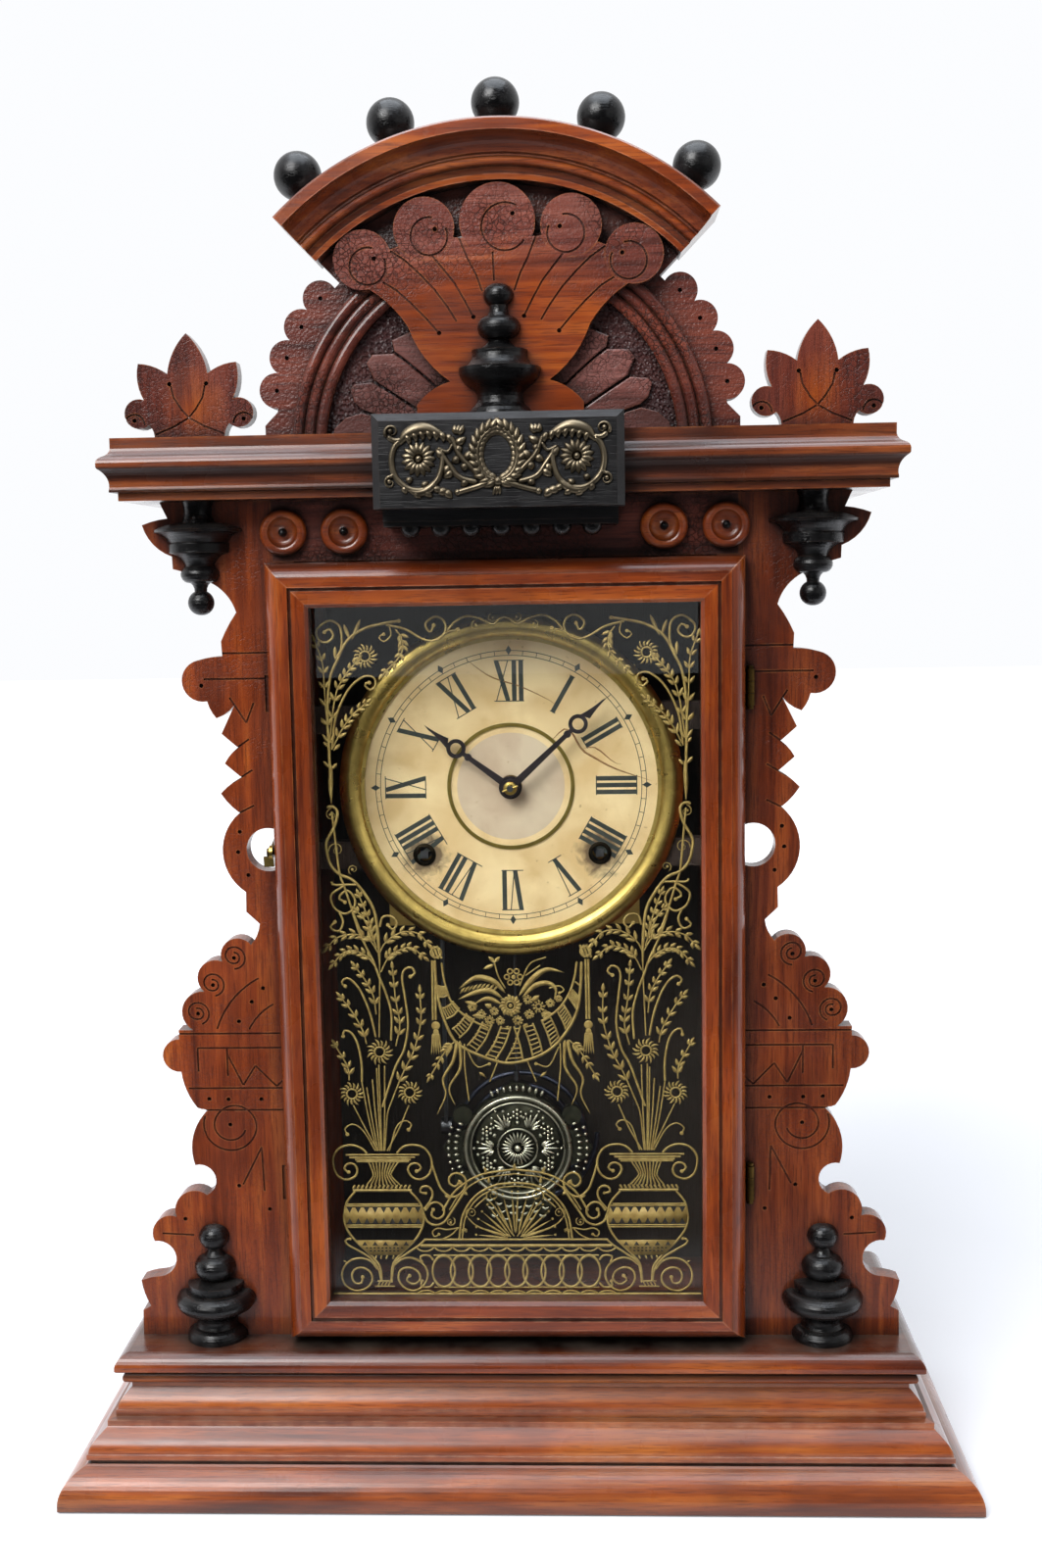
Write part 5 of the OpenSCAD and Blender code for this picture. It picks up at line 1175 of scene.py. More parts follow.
    def _carved_leaves(self, material: Material) -> None:
        """Carves the leaves between fan and arch, in place of the model's plain ones."""
        mesh = bmesh.new()
        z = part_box("fan_panel")[0][2] / MM
        outlines = (((-16, 19.6), (-26.1, 19.6), (-30.7, 23.9), (-37.7, 29.8), (-43.2, 34), (-44.2, 38.5),
                     (-36, 42), (-16, 40)), ((-16, 11.2), (-34.7, 11.2), (-42.7, 16.6), (-51.8, 22.6),
                                             (-54.8, 29.6), (-52.3, 33), (-43.4, 33.2), (-37.9, 29.2),
                                             (-31, 23.3), (-26.2, 18.9), (-16, 18.9)), ((-30, 0.3), (-40, 2),
                                                                                        (-50.6, 8.6),
                                                                                        (-56.8, 10.8),
                                                                                        (-60.2, 13.8),
                                                                                        (-61.8, 19.4),
                                                                                        (-60, 21.4),
                                                                                        (-52.8, 22),
                                                                                        (-43, 15.9),
                                                                                        (-35, 10.5),
                                                                                        (-30, 8)),
                    ((-69.6, 0.3), (-68.6, 3.6), (-63.8, 7.8), (-57.2, 9.6), (-51, 7.8), (-41.4, 1.2),
                     (-40.4, 0.3)))
        for outline in outlines:
            for side in SIDES:
                self._leaf(mesh, [(side * -x, z + up) for x, up in outline])
        piece = make_piece(mesh, "carved_leaves", "case", material, smooth=False)
        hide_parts("leaf_panel")

    def _leaf(self, mesh: Mesh, outline: Sequence[Spot]) -> None:
        """Raises one carved leaf with rounded shoulders off the board behind it."""
        foot = self.crest_board + 0.05
        face = mesh.faces.new([mesh.verts.new(metres(x, foot, z)) for x, z in outline])
        raised = bmesh.ops.extrude_face_region(mesh, geom=[face])["geom"]
        verts = [item for item in raised if isinstance(item, bmesh.types.BMVert)]
        bmesh.ops.translate(mesh, verts=verts, vec=(0.0, -self.leaf_rise * MM, 0.0))
        faces = [item for item in raised if isinstance(item, bmesh.types.BMFace)]
        rim = dict.fromkeys(edge for face in faces for edge in face.edges)
        bmesh.ops.bevel(
            mesh,
            geom=[edge for edge in rim if all(vert in verts for vert in edge.verts)],
            offset=self.leaf_round * MM,
            offset_type="OFFSET",
            segments=4,
            profile=0.6,
            affect="EDGES",
            clamp_overlap=True,
        )

    def _pins(self, material: Material) -> None:
        """Drives a dark pin into the middle of each rosette."""
        brush = Brush(self.frieze_face, 1.3)
        low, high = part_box("frieze_rosettes")
        z = (low[2] + high[2]) / 2 / MM
        for x in self.rosettes:
            for side in SIDES:
                brush.bead((side * x, z), 1.9, 2.2)
        make_piece(brush.mesh, "rosette_pins", "case", material)


class Fittings:
    """Everything of brass, steel, bronze and iron."""

    def build(self, effects: Effects) -> dict[str, Material]:
        """Dresses the metal nodes by their slot, and then those few that look different.

        Args:
            effects: The shared groups.

        Returns:
            The materials by the slot that they stand for.
        """
        metals = {
            "brass": Metal("aged_brass", srgb(214, 184, 104), srgb(96, 78, 38), 0.22, 0.45),
            "steel": Metal("turned_steel", srgb(96, 96, 98), srgb(52, 48, 46), 0.3, 0.5),
            "spring_steel": Metal("spring_steel", srgb(96, 102, 120), srgb(48, 44, 46), 0.3, 0.6),
            "blued_steel": Metal("blued_hands", srgb(52, 44, 48), srgb(34, 26, 26), 0.42, 0.7, metallic=0.6),
            "nickel": Metal("worn_nickel", srgb(236, 230, 204), srgb(60, 57, 44), 0.2, 0.4, reach=0.0022),
            "bronze": Metal("dark_bronze", srgb(150, 136, 112), srgb(36, 30, 25), 0.32, 0.7, reach=0.003),
            "black_iron": Metal("black_iron", srgb(44, 44, 48), srgb(22, 22, 24), 0.45, 0.5, metallic=0.3),
        }
        wanted = {slot: metal.build(effects) for slot, metal in metals.items()}
        plate = Metal("movement_brass", srgb(216, 182, 106), srgb(132, 100, 48), 0.3, 0.35).build(effects)
        moving = ("wheel", "plate", "arbor", "pillars")
        for name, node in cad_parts.items():
            slot = node.data.materials[0].name.split(".")[0] if node.data.materials else ""
            if slot in wanted:
                metal = plate if slot == "brass" and any(word in name for word in moving) else wanted[slot]
                dress(metal, name)
        olive = Metal("olive_brass", srgb(150, 130, 66), srgb(80, 66, 32), 0.3, 0.5,
                      dark_spots=WINDING_HOLES)
        dress(olive.build(effects), "dial_brass_rings")
        dull = Metal("dull_brass", srgb(116, 92, 48), srgb(44, 34, 22), 0.42, 0.8)
        dress(dull.build(effects), "case_brass_fittings", "door_brass_fittings", "hinge_pins")
        dark = Metal("dark_nickel", srgb(92, 90, 74), srgb(30, 29, 23), 0.3, 0.6, reach=0.003)
        dress(dark.build(effects), "pendulum_bob")
        return wanted


@dataclass(frozen=True)
class Dial:
    """The papered dial with its printed numerals and minute track."""

    centre_z: float = DIAL_Z
    face_y: float = -0.02
    ink_rise: float = 0.03
    crack_rise: float = 0.02
    pitch: float = 3.0
    foot: float = 37.3
    head: float = 54.9
    inner_track: float = 57.1
    outer_track: float = 59.2
    bar: float = 1.0
    hair: float = 0.22

    def build(self, effects: Effects) -> None:
        """Dresses the dial and prints it."""
        z = self.centre_z * MM
        dress(DialPaper("dial_paper", (0.0, 0.0, z)).build(effects), "dial_plate")
        ink = Paint("printers_ink", srgb(38, 46, 44), srgb(60, 62, 54), 0.5).build(effects)
        brush = Brush(self.face_y, self.ink_rise, 4, self.pitch)
        for hour, numeral in enumerate("XII I II III IIII V VI VII VIII IX X XI".split()):
            self._numeral(brush, hour, numeral)
        self._track(brush)
        make_piece(brush.mesh, "dial_print", "case", ink, smooth=False)
        stain = Paint("crack_stain", srgb(150, 96, 54), srgb(190, 148, 100), 0.7).build(effects)
        self._cracks(stain)

    def _at(self, hour: float, across: float, reach: float) -> Spot:
        """Turns a place on a numeral, across it and out from the centre, into one on the dial."""
        angle = math.radians(30 * hour)
        x = across * math.cos(angle) + reach * math.sin(angle)
        z = reach * math.cos(angle) - across * math.sin(angle)
        return x, self.centre_z + z

    def _numeral(self, brush: Brush, hour: int, numeral: str) -> None:
        """Prints one numeral, with its foot towards the centre."""
        widths = {"I": 3.0, "V": 7.0, "X": 7.4}
        left = -sum(widths[letter] for letter in numeral) / 2
        start = left
        for letter in numeral:
            middle = left + widths[letter] / 2
            self._letter(brush, hour, letter, middle)
            left += widths[letter]
        for reach in (self.foot, self.head):
            ends = [self._at(hour, start + 0.2, reach), self._at(hour, 0, reach), self._at(hour, left - 0.2,
                                                                                           reach)]
            brush.stroke(ends, self.hair, Tip.SQUARE)

    def _letter(self, brush: Brush, hour: int, letter: str, middle: float) -> None:
        """Prints one letter of a numeral out of thick and thin bars."""
        lean = {"I": 0.0, "V": 2.3, "X": 2.5}[letter]
        top, foot = self.head - 0.1, self.foot + 0.1
        if letter == "I":
            bars = [((0.0, top), (0.0, foot), self.bar)]
        elif letter == "V":
            bars = [((-lean, top), (0.3, foot), self.bar), ((lean, top), (0.7, foot), self.hair)]
        else:
            bars = [((-lean, top), (lean, foot), self.bar), ((lean, top), (-lean, foot), self.hair)]
        for (x_top, high), (x_foot, low), half in bars:
            brush.stroke([self._at(hour, middle + x_top, high), self._at(hour, middle + x_foot, low)], half,
                         Tip.SQUARE)

    def _track(self, brush: Brush) -> None:
        """Prints the two circles, the minutes between them and a diamond at every fifth one."""
        for radius in (self.inner_track, self.outer_track):
            brush.ring((0.0, self.centre_z), radius, 0.16, 120)
        for minute in range(60):
            hour = minute / 5
            ends = [self._at(hour, 0, self.inner_track), self._at(hour, 0, self.outer_track)]
            brush.stroke(ends, 0.14, Tip.SQUARE)
            if minute % 5 == 0:
                corners = [(0, 57.3), (1.3, 59.3), (0, 61.4), (-1.3, 59.3)]
                brush.polygon([self._at(hour, across, reach) for across, reach in corners])

    def _cracks(self, material: Material) -> None:
        """Draws the brown cracks of the old paper."""
        brush = Brush(self.face_y, self.crack_rise, 4, self.pitch)
        z = self.centre_z
        long = [(-19, 56), (-8, 48), (5, 43.5), (18, 37), (22, 33)]
        lower = [(17, 19), (25, 25), (31, 16), (36, 12.5), (46, 7), (62, 1.5)]
        for line, half in ((long, 0.3), (lower, 0.45), ([(31, 16), (37, 16.5), (45, 10), (49, 9)], 0.3)):
            brush.stroke([(x, z + up) for x, up in line], half, Tip.LEAF)
        make_piece(brush.mesh, "dial_cracks", "case", material)


@dataclass(frozen=True)
class GiltDoor:
    """The door's glass and the gilt drawing on its back."""

    line: float = 0.5
    fine: float = 0.32
    hair: float = 0.34
    thick: float = 0.4
    rise: float = 0.03
    paint_rise: float = 0.02
    paint_behind: float = 0.035

    def build(self, effects: Effects) -> None:
        """Glazes the door and lays the gold."""
        dress(ClearGlass("old_glass").build(effects), "door_glass")
        gold = Paint("gold_leaf", srgb(172, 146, 82), srgb(144, 116, 58), 0.5, 0.15).build(effects)
        black = Paint("glass_black", srgb(22, 18, 14), srgb(34, 28, 20), 0.6).build(effects)
        brush = Brush(GLASS_BACK, self.rise)
        self._corner(brush)
        self._column(brush)
        self._spray(brush)
        self._flowers(brush)
        self._urn(brush)
        self._fan(brush)
        brush.mirrored()
        make_piece(brush.mesh, "gilt_sides", "door", gold)
        brush = Brush(GLASS_BACK, self.rise)
        self._basket(brush)
        self._ribbons(brush)
        self._guilloche(brush)
        make_piece(brush.mesh, "gilt_middle", "door", gold)
        brush = Brush(GLASS_BACK - self.paint_behind, self.paint_rise)
        self._urn_bands(brush)
        brush.mirrored()
        make_piece(brush.mesh, "urn_triangles", "door", black, smooth=False)

    def _corner(self, brush: Brush) -> None:
        """Draws the leafy scrolls of the upper corner."""
        line = self.line
        brush.curl([(-71, 358.5), (-68.5, 362.5), (-68, 367.5), (-69, 372.5), (-73.5, 374.5), (-78.5, 370.5),
                    (-77.5, 366.5), (-74.5, 365.5), (-71.5, 368), (-73, 371), (-75.2, 369.8)], line)
        brush.sprig([(-74.5, 306), (-74.5, 323), (-75.5, 337), (-76, 348.5), (-76.5, 357.5), (-79.5, 366)],
                    7, 5.2)
        brush.stroke([(-74.5, 306), (-75, 334), (-73.5, 350), (-70, 358.5), (-65.5, 366.5), (-58.5, 371),
                      (-50.5, 373), (-44, 374)], line + 0.1)
        brush.bead((-44, 374), 0.9)
        brush.curl([(-49.5, 372.5), (-41.5, 370.5), (-35.5, 367), (-31, 365.5), (-26.5, 367), (-24.5, 370.5),
                    (-25.5, 374), (-29, 375.5), (-33, 372.5), (-31, 369), (-29.5, 372)], line)
        brush.stroke([(-28.5, 366), (-24, 369), (-19.5, 370)], self.fine)
        brush.bead((-19.5, 370), 1.0)
        brush.stroke([(-24, 369.5), (-21, 373), (-16, 375.5), (-10.5, 374.5), (-5, 372), (-2.5, 374),
                      (0, 375)], line)
        for centre in ((-12, 371.5), (-5, 374.5)):
            brush.scroll(centre, 2.2, 90, 1.0, self.fine, 0.5)
        brush.curl([(-48, 372), (-47.5, 368), (-50.5, 365.5), (-52.5, 367.5), (-50.5, 368.5)], self.fine,
                   0.8)
        brush.sprig([(-45.5, 370.5), (-43, 366.5), (-43.5, 360), (-51, 352)], 6, 4.6)
        brush.sunflower((-58.5, 359.5), 2.1, 5.6, 15, 0.55)
        brush.sprig([(-74.5, 323), (-71.5, 342.5), (-67.5, 351), (-62, 357.5)], 7, 4.8)
        brush.curl([(-73.5, 320.5), (-71.5, 334), (-66, 345.5), (-59.5, 351), (-55, 350.5), (-54.5, 347),
                    (-57, 345.5), (-59, 348), (-57, 348.5)], line)
        brush.sprig([(-73, 321.5), (-69, 329), (-64.5, 335), (-58.5, 340)], 6, 4.8)
        tips = (
            ((-78, 333.5), (-75.5, 331)), ((-77, 324), (-75, 321.5)), ((-70, 323), (-73, 320)),
            ((-77.5, 316), (-74.5, 312.5)), ((-71.5, 315), (-74, 312)), ((-67, 373), (-64.5, 366)),
            ((-60, 375), (-64, 366)), ((-71, 364), (-71, 358)),
        )
        brush.leaves(tips, 0.8)

    def _column(self, brush: Brush) -> None:
        """Draws the scrolls that run down beside the dial."""
        line = self.line
        brush.stroke([(-74, 314.5), (-74.5, 305.5), (-74.5, 297)], 1.0, Tip.LEAF)
        brush.stroke([(-76.5, 296), (-74, 296.5), (-72, 294), (-73.5, 288), (-77, 281.5), (-77, 277),
                      (-75.5, 271.5), (-72, 267.5), (-66.5, 265), (-61.5, 259), (-57.5, 251), (-56, 239)],
                     line + 0.15)
        brush.stroke([(-74.5, 294.5), (-73.5, 284.5), (-72, 268.5), (-70, 262), (-67, 252), (-63, 240.5)],
                     line)
        brush.scroll((-74.5, 293), 2.6, 90, 1.2, self.fine, 0.6)
        brush.scroll((-73, 278), 3.3, 200, -1.3, self.fine, 0.7)
        brush.scroll((-66, 269.5), 2.4, 250, -1.2, self.fine, 0.6)
        brush.stroke([(-75.5, 264.5), (-74.5, 263), (-69.5, 263), (-65, 263)], line)
        brush.curl([(-69.5, 263), (-75.5, 259), (-75.5, 255), (-73.5, 252), (-69.5, 250.5), (-66, 253.5),
                    (-66, 257.5), (-69, 260.5), (-72.5, 257.5), (-70, 255.5)], line)
        brush.curl([(-72.5, 251), (-71, 247), (-73, 243), (-76.5, 244.5), (-74.5, 247)], line)
        brush.curl([(-55.5, 244.5), (-54, 249), (-50, 249), (-48, 246), (-50, 243.5), (-52, 245.5)], line)
        brush.sprig([(-58, 238.5), (-60, 247.5), (-64, 258.5)], 5, 4.2)

    def _spray(self, brush: Brush) -> None:
        """Draws the grasses and ears between the dial and the flowers."""
        line = self.line
        brush.stroke([(-57.5, 251.5), (-56.5, 243), (-56, 233.5), (-56, 223)], 0.7, Tip.LEAF)
        brush.stroke([(-67, 251.5), (-64.5, 243), (-62, 237), (-58.5, 229.5), (-56.5, 223.5), (-53.5, 215.5),
                      (-51.5, 206.5), (-52, 195)], line)
        brush.sprig([(-56.5, 233.5), (-59.5, 238.5), (-63.5, 241), (-68.5, 241.5), (-74, 240), (-78, 236)],
                    6, 5.0)
        brush.sprig([(-56, 233), (-53.5, 237.5), (-49, 241), (-44.5, 242.5), (-39, 241.5), (-35, 237)], 6,
                    5.0)
        brush.sprig([(-57, 235.5), (-59, 241), (-62, 248), (-65, 251.5)], 4, 4.4)
        brush.sprig([(-57, 226), (-60, 230.5), (-64, 233.5), (-68, 234.5), (-72, 233), (-76, 228.5)], 7, 4.4)
        brush.sprig([(-55.5, 225), (-53, 230), (-50.5, 233), (-46, 235), (-42, 235.5), (-37, 231.5)], 7, 4.4)
        brush.stroke([(-56, 223), (-57, 196.5)], self.fine)
        brush.sprig([(-58, 206.5), (-59, 214.5), (-62, 221), (-66.5, 227.5)], 5, 4.4)
        brush.curl([(-58.5, 196.5), (-60.5, 206.5), (-64, 216), (-67.5, 221), (-70.5, 222.5), (-72.5, 220.5),
                    (-71, 219)], line)
        brush.sprig([(-50, 192.5), (-48, 202), (-49.5, 213), (-50.5, 226.5)], 6, 4.6)
        brush.curl([(-56.5, 165.5), (-50.5, 183), (-46.5, 191), (-44.5, 202), (-45.5, 214), (-46.5, 222),
                    (-45.5, 226), (-42.5, 227), (-41, 224.5), (-43, 223)], line)
        brush.sprig([(-62.5, 193.5), (-64, 199.5), (-68.5, 208), (-73, 214)], 5, 4.6)
        brush.curl([(-65, 176.5), (-65, 185.5), (-66.5, 194), (-69, 198.5), (-72, 199.5), (-72.5, 197)],
                   line)
        brush.sprig([(-53.5, 165.5), (-47.5, 180), (-42.5, 190), (-39, 203), (-39, 216)], 8, 5.0)
        brush.sprig([(-70.5, 177.5), (-71, 183.5), (-76, 193)], 4, 4.4)

    def _flowers(self, brush: Brush) -> None:
        """Draws the three sunflowers and the stems that leave the urn."""
        for centre, outer in (((-57, 190), 5.8), ((-69.5, 171.5), 5.4), ((-44.5, 172), 5.4)):
            brush.sunflower(centre, 2.2, outer + 0.3, 15, 0.55)
        mouth = (-57, 146)
        ends = ((-63, 174.5), (-60.5, 178), (-58.5, 183), (-57.5, 184.5), (-55, 184), (-53.5, 165.5),
                (-65, 176.5))
        for end in ends:
            middle = (mouth[0] + (end[0] - mouth[0]) * 0.7, 161)
            brush.stroke([(mouth[0] + (end[0] - mouth[0]) * 0.3, 146), middle, end], self.fine)
        brush.stroke([(-59, 146), (-64, 156), (-69, 166.5)], self.fine)
        brush.stroke([(-55, 146), (-49.5, 156), (-45, 166.5)], self.fine)
        brush.curl([(-60, 146), (-65, 155), (-69.5, 158), (-73, 156), (-72, 153.5)], self.fine)
        brush.curl([(-54, 146), (-50.5, 157), (-46.5, 159.5), (-44, 157.5), (-45.5, 155.5)], self.fine)

    def _urn(self, brush: Brush) -> None:
        """Draws the urn with its handles, bands and scrolled foot."""
        line = self.line
        fine = self.fine
        for left, right, z in ((41, 73, 144.3), (43, 71.5, 143.1), (44.8, 69, 142.1), (45.6, 68.4, 141.3)):
            brush.stroke([(left, z), (right, z)], 0.42, Tip.SQUARE)
        for step in range(9):
            share = step / 8
            top, waist, low = 50.3 + 12.8 * share, 53.2 + 8.2 * share, 49.7 + 14.6 * share
            brush.stroke([(top, 141.1), (waist, 136.5), (waist, 134.5), (low, 130.6)], self.hair)
        brush.stroke([(44.8, 128.3), (70.4, 128.3)], 0.62, Tip.SQUARE)
        for step in range(14):
            x = 45.2 + 1.85 * step
            brush.stroke([(x, 130.8), (x + 1.1, 129)], 0.5)
        brush.stroke([(45.6, 128), (42.1, 123.9), (40.4, 120.4), (39.8, 115.7), (40.7, 111.1), (43.9, 105.8),
                      (50.3, 99.4), (53.8, 94.7), (54.7, 87.1)], line)
        brush.stroke([(69.3, 128), (73, 123.3), (74.2, 118.6), (74.5, 115.1), (73.3, 110.5), (69.5, 105.2),
                      (64.3, 100), (59.6, 94.1), (58.8, 87.1)], line)
        for left, right, z in ((42, 73, 122.1), (41.2, 73.8, 121.3), (40.3, 74.2, 112.6),
                               (40.7, 73.6, 111.7)):
            brush.stroke([(left, z), (right, z)], self.hair, Tip.SQUARE)
        brush.polygon([(41, 120.6), (73.8, 120.6), (74.4, 117), (74, 113.5), (40.3, 113.5), (40, 117)])
        brush.polygon([(43.9, 105.8), (69.6, 105.8), (67, 102.6), (63.6, 99.1), (50.8, 99.1), (47.4, 102.4)])
        for x in (53.2, 56.1, 58.5, 60.8):
            brush.stroke([(x, 99), (x + 0.6, 97.2)], self.thick)
        brush.stroke([(53.2, 84.8), (62, 84.8)], self.thick)
        brush.stroke([(54.4, 87.2), (60.8, 87.2)], self.thick)
        for step in range(4):
            brush.stroke([(55 + 1.5 * step, 87), (56 + 1.5 * step, 85.2)], self.hair)
        brush.curl([(39.5, 106), (42.1, 103.5), (48, 99.4), (52.6, 95.9), (54, 91.2), (54.4, 87)], line, 0.5)
        brush.curl([(59, 87), (60.2, 93), (63.7, 97.7), (69, 101.2), (73.6, 104), (74.2, 106),
                    (72.2, 106.4)], line, 0.7)
        brush.curl([(53.6, 94.2), (49.5, 97.2), (45.1, 97.6), (40.4, 94.7), (38.6, 90.1), (40.4, 85.4),
                    (44.5, 82.8), (49.1, 84.2), (51.5, 88.3), (50.3, 92.4), (46.2, 93.3), (42.7, 91.2),
                    (42.1, 87.7), (45.1, 85.7), (48, 87.7), (46.6, 89.6)], line)
        brush.curl([(60.4, 92.4), (63.4, 96.2), (68, 97.6), (72.6, 96.4), (75.6, 92.8), (76.2, 88.8),
                    (74.8, 85.2), (70.7, 82.8), (66, 83.7), (63.1, 87.1), (63.7, 91.2), (67.2, 93.3),
                    (70.7, 92.4), (71.9, 89.5), (70.7, 86.3), (67.8, 86.4), (67.2, 89)], line)
        brush.stroke([(73.6, 95.6), (75.6, 96.6)], 0.5, Tip.LEAF)
        brush.curl([(63.7, 144.9), (66, 147.2), (70.1, 148.7), (74.8, 147.8), (78.1, 144.3), (78.6, 140.2),
                    (77.1, 135.5), (73.6, 133.2), (69.5, 134.4), (68.1, 137.3), (69.5, 140.2), (72.5, 140.2),
                    (73.8, 138), (72, 136.6)], line)
        brush.curl([(50.9, 144.9), (48, 147.8), (43.9, 148.7), (39.2, 147.5), (36.3, 143.7), (35.7, 139),
                    (37.5, 135), (41, 133.2), (44.5, 134.4), (46.2, 137.9), (44.5, 140.2), (41.6, 140.2),
                    (40.4, 138), (42.4, 136.9)], line)
        brush.curl([(35.7, 140.2), (33.6, 133.2), (31.6, 128.5), (27.5, 125.3), (23.5, 126.8), (21.1, 130.9),
                    (21.9, 134.4), (25.2, 136.1), (28.1, 134.4), (28.3, 131.5), (25.8, 129.9), (24, 131.6)],
                   line)
        brush.curl([(39.6, 119.8), (36.5, 123.9), (35.7, 127.4), (37.5, 130), (40.4, 129.7), (41, 127.4),
                    (38.6, 127)], line, 0.7)
        brush.curl([(39.8, 118), (38.4, 114.4), (35, 112.6), (31, 113.9), (28.4, 117.6), (24.6, 123.4),
                    (20.6, 129.6)], line, 0.4)
        brush.curl([(39.2, 119), (36.4, 122.4), (33.2, 122.6), (30.9, 120), (31.3, 116.9), (34, 115.4),
                    (36.4, 117.2), (35.6, 119.6)], line)
        brush.scroll((28.2, 114.2), 2.2, 120, 1.4, fine, 0.6)
        brush.curl([(25, 111.4), (29.8, 110.5), (33.6, 111.2), (36.2, 109.6), (35.2, 107.2), (33.4, 108.4)],
                   fine, 0.7)
        brush.stroke([(24.6, 111.6), (28.1, 108.1), (32.8, 105.8)], fine)

    def _urn_bands(self, brush: Brush) -> None:
        """Sets the row of dark triangles into the urn's bands."""
        for step in range(9):
            x = 41 + 3.72 * step
            brush.polygon([(x, 120.8), (x + 2.6, 120.8), (x + 1.3, 118.2)])
            brush.polygon([(x, 113.3), (x + 2.6, 113.3), (x + 1.3, 115.9)])
        for step in range(5):
            x = 46.6 + 4.5 * step
            brush.polygon([(x, 103.4), (x + 2.4, 103.4), (x + 1.2, 105.2)])
        for step in range(10):
            x = 49.2 + 1.7 * step
            brush.polygon([(x, 102.6), (x + 0.9, 102.6), (x + 0.9, 102), (x, 102)])
            if 1 <= step <= 8:
                brush.polygon([(x, 101.3), (x + 0.9, 101.3), (x + 0.9, 100.7), (x, 100.7)])

    def _fan(self, brush: Brush) -> None:
        """Draws the left half of the fan, its arches and the curls beside it."""
        line = self.line
        fine = self.fine
        brush.stroke([(-24.6, 106), (-22.8, 117), (-17.5, 125.3), (-9, 130.4), (0, 131.6)], line)
        brush.stroke([(-23.3, 106), (-21.5, 116.4), (-16.5, 124.2), (-8.4, 128.9), (0, 130.1)], fine)
        brush.stroke([(-31.6, 119), (-25.4, 128.4), (-14.6, 135.2), (0, 137.6)], line)
        brush.stroke([(-28.6, 119.4), (-23.4, 127), (-13.6, 133.4), (0, 135.6)], fine)
        tips = (
            ((0, 137), (0, 140.4)), ((-12, 135.6), (-13, 138.8)), ((-22.4, 130.6), (-24.6, 133.2)),
            ((-28, 124.8), (-30.6, 126)), ((-11, 131), (-11.4, 134.2)), ((-20.4, 126), (-22.8, 128.2)),
        )
        brush.leaves(tips, 0.8)
        for centre, radius, start in (((-19, 118), 2.7, 250), ((-9.6, 126), 3.0, 230), ((-22, 110), 1.5,
                                                                                        260)):
            brush.scroll(centre, radius, start, -1.5, fine, 0.5)
        brush.stroke([(-20.4, 115.6), (-17.6, 112.8), (-12.4, 110.4), (-2, 107.4)], fine)
        brush.stroke([(-11.4, 123.4), (-8.4, 120), (-4.4, 113), (-0.6, 107.4)], fine)
        brush.stroke([(-12.4, 125.2), (-15.6, 122.4), (-17.6, 120.4)], fine)
        brush.scroll((-3.6, 107.4), 1.4, 0, 1.2, fine, 0.5)
        for step in range(8):
            angle = math.radians(174 - 11.5 * step)
            reach = 16.6 + 0.55 * step
            tip = (reach * math.cos(angle), 106.4 + reach * math.sin(angle))
            brush.stroke([(0.2 * tip[0], 106.4 + 0.1 * (tip[1] - 106.4)), tip], 0.48, Tip.LEAF)
            brush.bead((tip[0] * 1.04, 106.4 + (tip[1] - 106.4) * 1.04), 0.55)
        brush.stroke([(-40, 106), (0, 106)], line, Tip.SQUARE)
        brush.stroke([(-41.5, 103.2), (0, 103.2)], 0.75, Tip.SQUARE)
        for step in range(6):
            x = -43.5 + 7.9 * step
            brush.stroke([(x, 102.6), (x + 1.6, 101.2), (x + 4, 100.7), (x + 6.4, 101.2), (x + 7.9, 102.6)],
                         self.thick)
            brush.stroke([(x, 81.4), (x + 1.6, 82.4), (x + 4, 82.8), (x + 6.4, 82.4), (x + 7.9, 81.4)],
                         self.thick)
        brush.curl([(-36, 96.6), (-38, 98.8), (-41.6, 98.4), (-41.2, 96)], line, 0.8)
        brush.curl([(-36, 86.6), (-38, 84.4), (-41.6, 84.8), (-41.2, 87.2)], line, 0.8)
        brush.stroke([(-80, 80.9), (0, 80.9)], 1.0, Tip.SQUARE)

    def _guilloche(self, brush: Brush) -> None:
        """Draws the chain of crossing loops along the foot."""
        pitch = 7.9
        for index in range(9):
            brush.ring(((index - 4) * pitch, 91.6), 4.9, 0.5, 40, 1.46)
        for z in (98.9, 84.3):
            brush.stroke([(-36, z), (36, z)], self.hair)

    def _basket(self, brush: Brush) -> None:
        """Draws the hanging basket of flowers with its cords and tassels."""
        line = self.line
        fine = self.fine
        for side in SIDES:
            knot = side * 31.8
            brush.ring((knot, 233.4), 2.2, 0.5, 20)
            for slope in (-1.4, 0.0, 1.4):
                brush.stroke([(knot + slope - 1, 236.4), (knot + slope, 233.5), (knot + slope + 1, 230.6)],
                             0.55)
            for lane in (-0.9, 0.3):
                brush.stroke([(side * 32.6 + lane, 230), (side * 32.8 + lane, 204)], 0.5, Tip.SQUARE)
            brush.bead((side * 32.6, 201.5), 2.0)
            brush.bead((side * 32.6, 198.8), 1.3)
            for splay in (-2.2, -1.1, 0.0, 1.1, 2.2):
                brush.stroke([(side * 32.6 + splay * 0.5, 198.5), (side * 32.6 + splay, 188.5)], 0.62,
                             Tip.TAIL)
        outer = [(-32.5, 230), (-32, 220), (-30.5, 209.5), (-26.5, 198), (-21.5, 192), (-8, 186), (1, 185)]
        outer += [(12.5, 188.5), (21, 195.5), (27.5, 206.5), (29.5, 218.5), (30, 229)]
        brush.stroke(outer, line + 0.15)
        brush.stroke([(-29.5, 229), (-28.5, 221), (-25.5, 211.5), (-19, 205), (-10, 200)], line)
        brush.stroke([(28, 229), (27, 222.5), (24.5, 215), (19.5, 208), (12.5, 203)], line)
        self._weave(brush)
